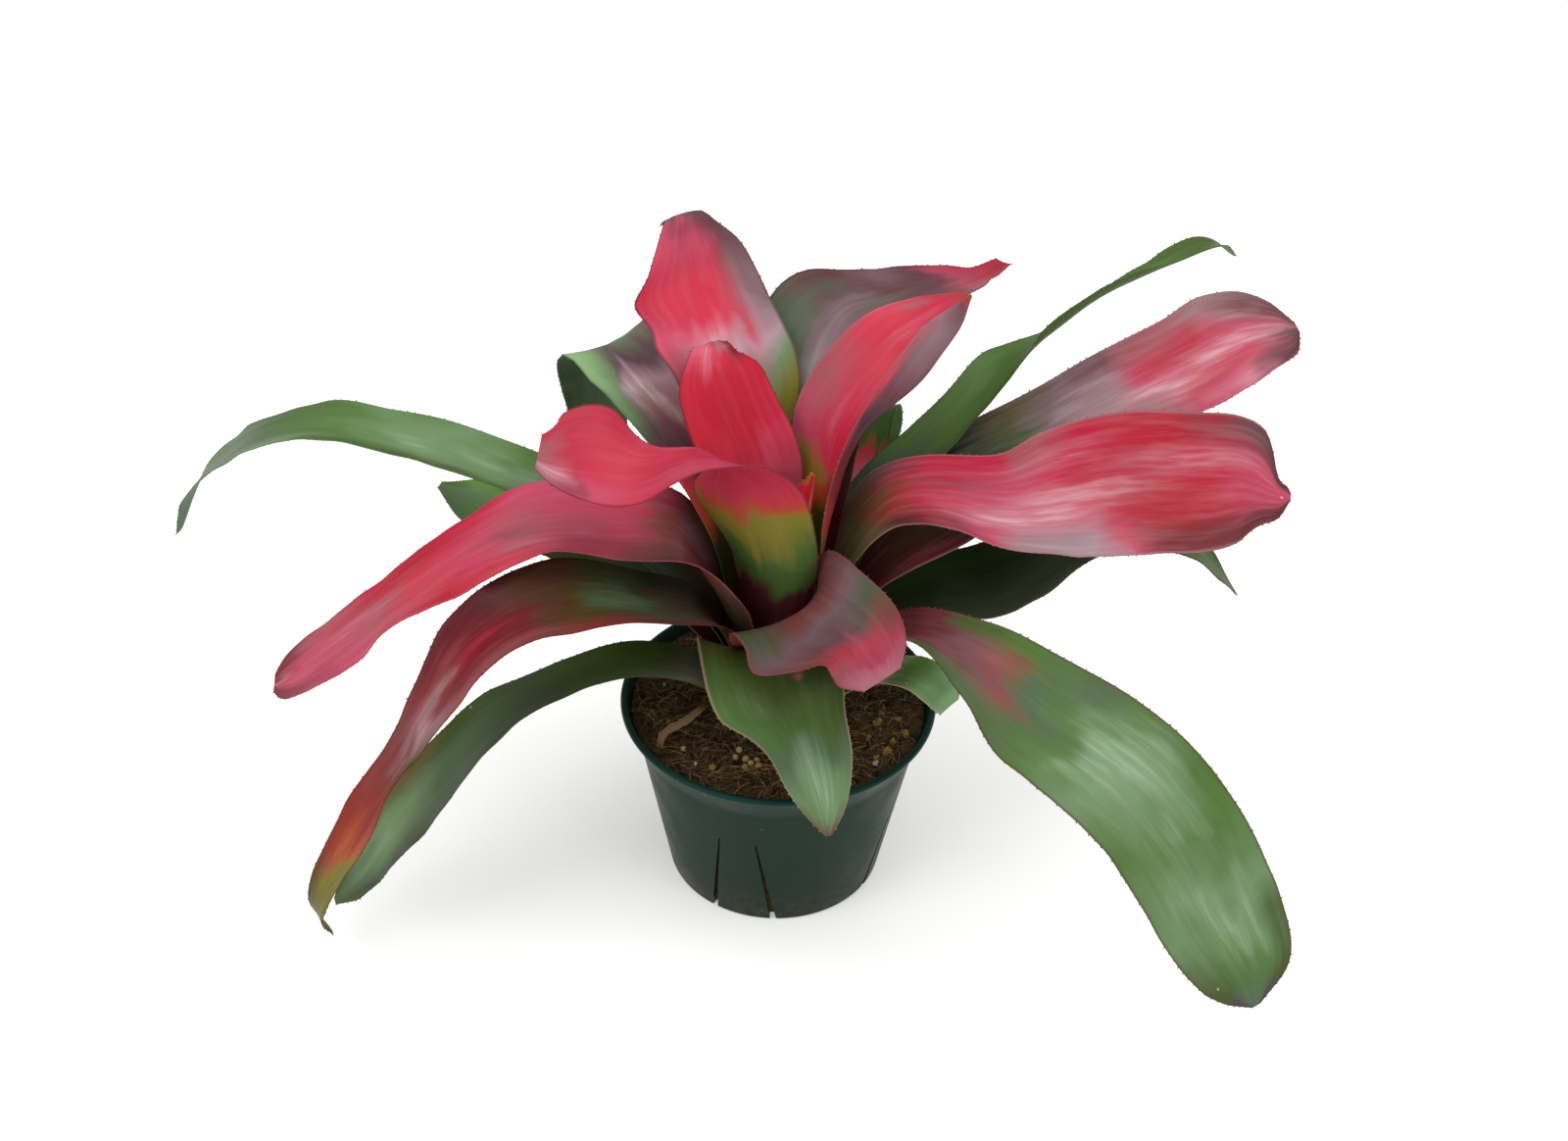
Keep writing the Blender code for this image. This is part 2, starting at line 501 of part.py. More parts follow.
def make_leaves(parent):
    for order, (name, leaf) in enumerate(LEAVES.items()):
        length = leaf_surface(leaf, order, 20, 2)[1]
        rows = max(14, round(length / MM / 14))
        surface = leaf_surface(leaf, order, rows, 2)[0]
        points, faces = leaf_solid(surface, THICKNESS)
        material = principled(name, LEAF_COLOURS[name], 0.4)
        object_from(name, points, faces, material, parent)


# Pot
def slit_cutter(heading, lean, material, parent):
    # A wedge that runs out through the wall, wide at the foot and narrow at the top
    corners = []
    for height, half_turn, width in (
        (-0.004, SLIT_FOOT_HALF_TURN, SLIT_FOOT_WIDTH),
        (SLIT_TOP_Z, SLIT_TOP_HALF_TURN, SLIT_TOP_WIDTH),
    ):
        for radius in (SLIT_INNER_RADIUS, SLIT_OUTER_RADIUS):
            middle = math.radians(heading + lean * half_turn)
            for side in (-0.5, 0.5):
                x = radius * math.cos(middle) - side * width * math.sin(middle)
                y = radius * math.sin(middle) + side * width * math.cos(middle)
                corners.append((x, y, height))
    faces = [(0, 1, 3, 2), (4, 6, 7, 5), (0, 4, 5, 1), (2, 3, 7, 6), (0, 2, 6, 4), (1, 5, 7, 3)]
    cutter = object_from(f"slit_cutter_{heading:.0f}_{lean}", corners, faces, material, parent)
    cutter.hide_render = True
    cutter.display_type = "WIRE"
    return cutter


def make_pot(parent):
    material = principled("pot", (0.012, 0.030, 0.026), 0.45)
    step_radius = COLLAR_RADIUS + 0.0010
    profile = [
        (BASE_RADIUS - BASE_EDGE, 0.0),
        (BASE_RADIUS - 0.0006, 0.0006),
        (BASE_RADIUS + 0.0002, BASE_EDGE),
        (COLLAR_RADIUS, COLLAR_Z),
        (step_radius + 0.0008, COLLAR_Z + 0.0012),
        (RIM_RADIUS - 0.0012, POT_HEIGHT - 0.0030),
        (RIM_RADIUS - 0.0003, POT_HEIGHT - 0.0024),
        (RIM_RADIUS, POT_HEIGHT - 0.0012),
        (RIM_RADIUS - 0.0005, POT_HEIGHT - 0.0003),
        (RIM_RADIUS - 0.0014, POT_HEIGHT),
        (RIM_RADIUS - LIP - 0.0016, POT_HEIGHT - 0.0006),
        (step_radius + 0.0008 - WALL, COLLAR_Z + 0.0012),
        (COLLAR_RADIUS - WALL, COLLAR_Z),
        (BASE_RADIUS + 0.0004 - WALL, FLOOR + 0.0010),
        (BASE_RADIUS - 0.0010 - WALL, FLOOR),
    ]
    points, faces = closed_turning(profile, POT_SIDES)
    pot = object_from("pot", points, faces, material, parent)
    for pair in range(SLIT_PAIRS):
        for lean in (-1, 1):
            heading = FIRST_PAIR_HEADING + pair * 360 / SLIT_PAIRS
            cut = pot.modifiers.new(f"slit {pair} {lean}", "BOOLEAN")
            cut.operation = "DIFFERENCE"
            cut.solver = "EXACT"
            cut.object = slit_cutter(heading, lean, material, parent)


# Potting mix and stem
def mix_relief(x, y):
    # Low lumps in the top of the mix, about 2 mm high
    long_lumps = math.sin(95 * x + 1.3) * math.sin(88 * y + 0.4)
    short_lumps = math.sin(240 * x - 1.1 * math.sin(150 * y)) * math.sin(215 * y + 0.8)
    return 0.0011 * long_lumps + 0.0007 * short_lumps


def make_mix(parent):
    material = principled("potting_mix", (0.035, 0.020, 0.011), 0.95)
    wall_gap = WALL + GAP
    slope = (COLLAR_RADIUS - BASE_RADIUS) / (COLLAR_Z - BASE_EDGE)
    low = FLOOR + 0.0010 + GAP
    low_radius = BASE_RADIUS + slope * low - wall_gap - 0.0004
    profile = [(HOLE_RADIUS, HOLE_FLOOR_Z)]
    rings = 7
    for k in range(rings + 1):
        profile.append((HOLE_RADIUS + (MIX_EDGE_RADIUS - HOLE_RADIUS) * k / rings, MIX_Z))
    profile += [(COLLAR_RADIUS - GAP - 0.0002, COLLAR_Z + 0.0010), (COLLAR_RADIUS - wall_gap, COLLAR_Z)]
    profile.append((low_radius, low))
    points, faces = closed_turning(list(reversed(profile)), MIX_SIDES)
    lumpy = []
    for x, y, z in points:
        radius = math.hypot(x, y)
        dish = MIX_EDGE_RISE * eased((radius - 0.028) / (MIX_EDGE_RADIUS - 0.028))
        lumps = mix_relief(x, y) * (0.3 if radius > MIX_EDGE_RADIUS - 0.002 else 1.0)
        lumpy.append((x, y, z + dish + lumps) if z > MIX_Z - 0.0001 else (x, y, z))
    object_from("potting_mix", lumpy, faces, material, parent, 60)


def make_stem(parent):
    material = principled("stem", (0.10, 0.07, 0.03), 0.8)
    last = len(LEAVES) - 1
    inset = THICKNESS / 2 + GAP
    top_z = FIRST_FOOT_UP * MM + 0.003
    foot_z = (FIRST_FOOT_UP - FOOT_UP_STEP * last) * MM - 0.001
    widening = FOOT_OUT_STEP / FOOT_UP_STEP
    top_radius = (FIRST_FOOT_OUT * MM - inset) * CHORD_ROOM - 0.0012
    cone_radius = (FIRST_FOOT_OUT * MM - inset + (FIRST_FOOT_UP * MM - foot_z) * widening) * CHORD_ROOM
    profile = [
        (HOLE_RADIUS - 0.0020, HOLE_FLOOR_Z + GAP),
        (HOLE_RADIUS - GAP, HOLE_FLOOR_Z + 0.004),
        (HOLE_RADIUS - GAP, MIX_Z + 0.0024),
        (cone_radius - 0.003, foot_z - 0.002),
        (cone_radius, foot_z),
        (top_radius, top_z),
        (top_radius * 0.5, top_z + 0.002),
    ]
    points, faces = closed_turning(profile, STEM_SIDES)
    object_from("stem", points, faces, material, parent)


# Dry leaf lying on the mix
DRY_LEAF = dict(
    points=[(-0.0550, -0.0380, 0.0970), (-0.0535, -0.0275, 0.0968), (-0.0440, -0.0180, 0.0968),
            (-0.0340, -0.0070, 0.0985)],
    width=[(0, 3.0), (0.5, 4.6), (1, 2.4)],
)


def make_dry_leaf(parent):
    material = principled("dry_leaf", (0.30, 0.16, 0.06), 0.8)
    line, length = even_path(DRY_LEAF["points"], 9)
    along = unit(np.gradient(line, axis=0))
    across = unit(np.cross(along, np.array([0, 0, 1.0])))
    half = through(DRY_LEAF["width"], np.linspace(0, 1, len(line)))[:, 0] / 2 * MM
    above = np.cross(across, along)
    spread = half[:, None] * across
    raised = 0.0006 * above
    surface = np.stack([line - spread + raised, line, line + spread + raised], 1)
    points, faces = leaf_solid(surface, THICKNESS)
    object_from("dry_leaf", points, faces, material, parent)


clear_scene()
plant = bpy.data.objects.new("plant", None)
bpy.context.scene.collection.objects.link(plant)
make_pot(plant)
make_mix(plant)
make_stem(plant)
make_leaves(plant)
make_dry_leaf(plant)
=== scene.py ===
# The looks of a neoregelia bromeliad in a round nursery pot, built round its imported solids. Every leaf keeps
# its solid's form, with finer rows, a toothed margin and its own colours. The front is the -Y side.
import math
import random

import bmesh
import bpy
import numpy as np
from mathutils import Matrix, Vector, noise


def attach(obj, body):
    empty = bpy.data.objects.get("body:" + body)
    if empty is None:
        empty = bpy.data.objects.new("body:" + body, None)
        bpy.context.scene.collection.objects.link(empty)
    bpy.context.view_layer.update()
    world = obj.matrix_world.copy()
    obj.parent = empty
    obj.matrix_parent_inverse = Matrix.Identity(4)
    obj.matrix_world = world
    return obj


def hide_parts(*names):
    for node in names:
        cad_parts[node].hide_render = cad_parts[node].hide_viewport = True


print("solids: loading")
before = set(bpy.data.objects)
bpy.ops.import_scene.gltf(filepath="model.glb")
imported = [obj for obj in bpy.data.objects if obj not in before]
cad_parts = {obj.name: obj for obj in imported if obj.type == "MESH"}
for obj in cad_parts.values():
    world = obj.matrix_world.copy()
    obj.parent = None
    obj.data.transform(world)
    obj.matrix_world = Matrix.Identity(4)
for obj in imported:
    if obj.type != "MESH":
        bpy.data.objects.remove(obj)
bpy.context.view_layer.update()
mm = 0.001


# Small helpers for node trees
def addNode(tree, kind, settings=None, values=None):
    # A value that is a socket is linked, and any other is set
    made = tree.nodes.new(kind)
    for key, value in (settings or {}).items():
        setattr(made, key, value)
    for key, value in (values or {}).items():
        if isinstance(value, bpy.types.NodeSocket):
            tree.links.new(value, made.inputs[key])
        else:
            made.inputs[key].default_value = value
    return made


def maths(tree, operation, *values):
    return addNode(tree, "ShaderNodeMath", {"operation": operation}, dict(enumerate(values))).outputs[0]


def vectorMaths(tree, operation, values):
    return addNode(tree, "ShaderNodeVectorMath", {"operation": operation}, values).outputs[0]


def axesOf(tree, vector):
    return addNode(tree, "ShaderNodeSeparateXYZ", None, {0: vector}).outputs


def fromAxes(tree, **axes):
    return addNode(tree, "ShaderNodeCombineXYZ", None, axes).outputs[0]


def remap(tree, value, low, high, newLow=0.0, newHigh=1.0, smooth=True):
    made = addNode(tree, "ShaderNodeMapRange", {"interpolation_type": "SMOOTHSTEP" if smooth else "LINEAR"}, {
        "Value": value, "From Min": low, "From Max": high, "To Min": newLow, "To Max": newHigh})
    return made.outputs["Result"]


def noiseOf(tree, vector, **values):
    made = addNode(tree, "ShaderNodeTexNoise", None, {"Vector": vector, **values})
    return made.outputs["Fac"]


def blendColour(tree, factor, first, second, mode="MIX"):
    made = addNode(tree, "ShaderNodeMix", {"data_type": "RGBA", "blend_type": mode},
                   {0: factor, 6: first, 7: second})
    return made.outputs[2]


def newGroup(name, kind, inputs, outputs):
    # Sockets by name, each with its start value, or with its kind where it has none
    tree = bpy.data.node_groups.new(name, kind)
    for way, sockets in (("INPUT", inputs), ("OUTPUT", outputs)):
        for label, start in sockets.items():
            sort = start if isinstance(start, str) else {float: "Float", int: "Int"}[type(start)]
            socket = tree.interface.new_socket(name=label, in_out=way, socket_type="NodeSocket" + sort)
            if sort != start:
                socket.default_value = start
    return tree, tree.nodes.new("NodeGroupInput").outputs, tree.nodes.new("NodeGroupOutput").inputs


def place(tree, group, values):
    # A group put in a material, with its own values and links
    return addNode(tree, "ShaderNodeGroup", {"node_tree": group}, values).outputs


def endTree(tree, geometry, given, out):
    # Every geometry tree ends as real geometry with its material
    real = addNode(tree, "GeometryNodeRealizeInstances", None, {0: geometry})
    coat = addNode(tree, "GeometryNodeSetMaterial", None,
                   {"Geometry": real.outputs[0], "Material": given["Material"]})
    tree.links.new(coat.outputs[0], out["Geometry"])
    return tree


def newMaterial(name):
    material = bpy.data.materials.new(name)
    material.use_nodes = True
    return material, material.node_tree, material.node_tree.nodes["Principled BSDF"]


def addBump(tree, shader, height, strength, distance):
    bump = addNode(tree, "ShaderNodeBump", None,
                   {"Strength": strength, "Distance": distance, "Height": height})
    tree.links.new(bump.outputs["Normal"], shader.inputs["Normal"])


def growMesh(thing, tree, values):
    # Runs a geometry tree on an object, and keeps the result as its plain mesh
    modifier = thing.modifiers.new(tree.name, "NODES")
    modifier.node_group = tree
    for item in tree.interface.items_tree:
        if item.in_out == "INPUT" and item.name in values:
            modifier[item.identifier] = values[item.name]
    deps = bpy.context.evaluated_depsgraph_get()
    grown = bpy.data.meshes.new_from_object(thing.evaluated_get(deps), depsgraph=deps)
    thing.modifiers.remove(modifier)
    thing.data = grown


def newObject(name, points, faces, edges=()):
    mesh = bpy.data.meshes.new(name)
    mesh.from_pydata([tuple(p) for p in points], list(edges), faces)
    thing = bpy.data.objects.new(name, mesh)
    bpy.context.scene.collection.objects.link(thing)
    return thing


def finishPiece(thing, material, sharpDegrees, replaced=()):
    thing.data.materials.clear()
    thing.data.materials.append(material)
    thing.data.shade_smooth()
    thing.data.set_sharp_from_angle(angle=math.radians(sharpDegrees))
    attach(thing, "root")
    if replaced:
        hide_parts(*replaced)


def setPointData(mesh, name, kind, values):
    layer = mesh.attributes.new(name, kind, "POINT")
    field = "vector" if kind == "FLOAT_VECTOR" else "value"
    layer.data.foreach_set(field, np.ascontiguousarray(values, np.float32).ravel())


def getPointData(mesh, name, width):
    values = np.zeros(len(mesh.vertices) * width, np.float32)
    if name == "position":
        mesh.vertices.foreach_get("co", values)
    elif name in mesh.attributes:
        mesh.attributes[name].data.foreach_get("vector" if width == 3 else "value", values)
    return values.reshape(-1, width) if width > 1 else values


# Colours as they look on a screen, 0 to 255
paints = {
    "crimson": (168, 8, 40), "cherry": (176, 24, 56), "coral": (190, 44, 68), "rose": (180, 60, 88),
    "dustyRose": (156, 76, 86), "blush": (194, 114, 132), "pinkWhite": (208, 162, 172), "wine": (110, 22, 34),
    "maroon": (80, 23, 28), "plum": (98, 56, 64), "duskPlum": (60, 40, 48), "roseBrown": (124, 60, 58),
    "lavender": (154, 130, 140), "greyMauve": (117, 90, 96), "greyPink": (146, 106, 110),
    "brick": (142, 42, 34), "orange": (176, 72, 38), "bark": (54, 35, 24), "brown": (90, 54, 34),
    "olive": (84, 74, 26), "yellowGreen": (128, 118, 34), "moss": (52, 72, 18), "leafGreen": (68, 100, 40),
    "grass": (56, 86, 30), "darkGreen": (28, 50, 14), "deepGreen": (17, 32, 6), "teal": (68, 94, 86),
    # The two pale colours mint and palest serve only as painted highlights on leaves.
    "greyGreen": (68, 90, 60), "sage": (94, 122, 82), "mint": (136, 160, 132), "palest": (180, 180, 166),
    "tan": (176, 140, 98), "straw": (188, 154, 108), "margin": (84, 34, 37), "paleMargin": (178, 134, 122),
}


def paint(name):
    return tuple(((c / 255 + 0.055) / 1.055) ** 2.4 if c > 10 else c / 3294 for c in paints[name]) + (1.0,)


# Shared effects. A place on a leaf is -1 to 1 across, 0 to 1 along, and the metres along.
effectBuild = dict(
    featherStretch=(3.2, 0.0, 13.0), cloudStretch=(1.3, 0.0, 30.0), cloudPull=4.0,
    broadStreak=dict(stretch=16.0, low=0.34, high=0.68), fineStreak=dict(stretch=26.0, low=0.38, high=0.70),
    veinUneven=(30.0, 60.0), patchFade=1.15, mottleLow=0.34, mottleHigh=0.66,
)


def makeLeafWander():
    # Shifts a place on a leaf a little along and across, so that colour zones end in feathered streaks
    tree, given, out = newGroup("leafWander", "ShaderNodeTree", {
        "Place": "Vector", "Feather": 0.06, "Sway": 0.10}, {"Across": "Float", "Along": "Float"})
    split = axesOf(tree, given["Place"])
    stretched = vectorMaths(tree, "MULTIPLY", {0: given["Place"], 1: effectBuild["featherStretch"]})
    streaky = noiseOf(tree, stretched, Scale=1.0, Detail=2.0, Roughness=0.5)
    broad = vectorMaths(tree, "MULTIPLY", {0: given["Place"], 1: effectBuild["cloudStretch"]})
    cloud = maths(tree, "SUBTRACT", noiseOf(tree, broad, Scale=1.0, Detail=2.0), 0.5)
    feather = maths(tree, "MULTIPLY", maths(tree, "SUBTRACT", streaky, 0.5),
                    maths(tree, "MULTIPLY", given["Feather"], 2.0))
    pull = effectBuild["cloudPull"]
    drift = maths(tree, "MULTIPLY", cloud, maths(tree, "MULTIPLY", given["Feather"], pull))
    sway = maths(tree, "MULTIPLY", cloud, maths(tree, "MULTIPLY", given["Sway"], pull))
    tree.links.new(maths(tree, "ADD", split["Y"], maths(tree, "ADD", feather, drift)), out["Along"])
    tree.links.new(maths(tree, "ADD", split["X"], sway), out["Across"])
    return tree


def makeLeafStreaks():
    # Streaks that run the length of a leaf, broad and fine, from 0 to 1
    tree, given, out = newGroup("leafStreaks", "ShaderNodeTree", {
        "Place": "Vector", "Broad Count": 3.4, "Fine Count": 13.0}, {"Broad": "Float", "Fine": "Float"})
    split = axesOf(tree, given["Place"])
    for label, streak in (("Broad", effectBuild["broadStreak"]), ("Fine", effectBuild["fineStreak"])):
        grain = noiseOf(tree, fromAxes(tree, X=maths(tree, "MULTIPLY", split["X"], given[label + " Count"]),
                                       Y=maths(tree, "MULTIPLY", split["Z"], streak["stretch"])),
                        Scale=1.0, Detail=3.0, Roughness=0.6)
        tree.links.new(remap(tree, grain, streak["low"], streak["high"]), out[label])
    return tree


def makeLeafVeins():
    # Close parallel veins as a height from 0 to 1
    tree, given, out = newGroup("leafVeins", "ShaderNodeTree", {"Place": "Vector", "Count": 42.0},
                                {"Height": "Float"})
    split = axesOf(tree, given["Place"])
    turn = maths(tree, "MULTIPLY", maths(tree, "MULTIPLY", split["X"], given["Count"]), math.pi)
    ridge = maths(tree, "MULTIPLY_ADD", maths(tree, "SINE", turn), 0.5, 0.5)
    wide, long = effectBuild["veinUneven"]
    uneven = noiseOf(tree, fromAxes(tree, X=maths(tree, "MULTIPLY", split["X"], wide),
                                    Y=maths(tree, "MULTIPLY", split["Z"], long)), Scale=1.0, Detail=2.0)
    tree.links.new(maths(tree, "MULTIPLY", ridge, uneven), out["Height"])
    return tree


def makePaleSpecks():
    # Sparse small round specks, 1 inside a speck
    tree, given, out = newGroup("paleSpecks", "ShaderNodeTree", {
        "Position": "Vector", "Scale": 90.0, "Share": 0.10, "Size": 0.06}, {"Mask": "Float"})
    cells = addNode(tree, "ShaderNodeTexVoronoi", None,
                    {"Vector": given["Position"], "Scale": given["Scale"]})
    near = maths(tree, "LESS_THAN", cells.outputs["Distance"], given["Size"])
    split = addNode(tree, "ShaderNodeSeparateColor", None, {0: cells.outputs["Color"]})
    chosen = maths(tree, "LESS_THAN", split.outputs[0], given["Share"])
    tree.links.new(maths(tree, "MULTIPLY", near, chosen), out["Mask"])
    return tree


def makeSoftPatch():
    # A soft long patch on a leaf: 1 in its middle, 0 past its reach
    tree, given, out = newGroup("softPatch", "ShaderNodeTree", {
        "Across": 0.0, "Along": 0.0, "Middle Across": 0.0, "Middle Along": 0.5, "Reach Across": 0.3,
        "Reach Along": 0.1}, {"Mask": "Float"})
    squares = []
    for way in ("Across", "Along"):
        offset = maths(tree, "SUBTRACT", given[way], given["Middle " + way])
        share = maths(tree, "DIVIDE", offset, given["Reach " + way])
        squares.append(maths(tree, "MULTIPLY", share, share))
    far = maths(tree, "SQRT", maths(tree, "ADD", squares[0], squares[1]))
    tree.links.new(remap(tree, far, effectBuild["patchFade"], 0.0), out["Mask"])
    return tree


def makeMottle():
    # Uneven cloudy wear from 0 to 1
    tree, given, out = newGroup("mottle", "ShaderNodeTree", {"Position": "Vector", "Scale": 60.0},
                                {"Mask": "Float"})
    cloudy = noiseOf(tree, given["Position"], Scale=given["Scale"], Detail=6.0, Roughness=0.62)
    tree.links.new(remap(tree, cloudy, effectBuild["mottleLow"], effectBuild["mottleHigh"]), out["Mask"])
    return tree


print("effects: node groups")
leafWander = makeLeafWander()
leafStreaks = makeLeafStreaks()
leafVeins = makeLeafVeins()
paleSpecks = makePaleSpecks()
softPatch = makeSoftPatch()
mottle = makeMottle()


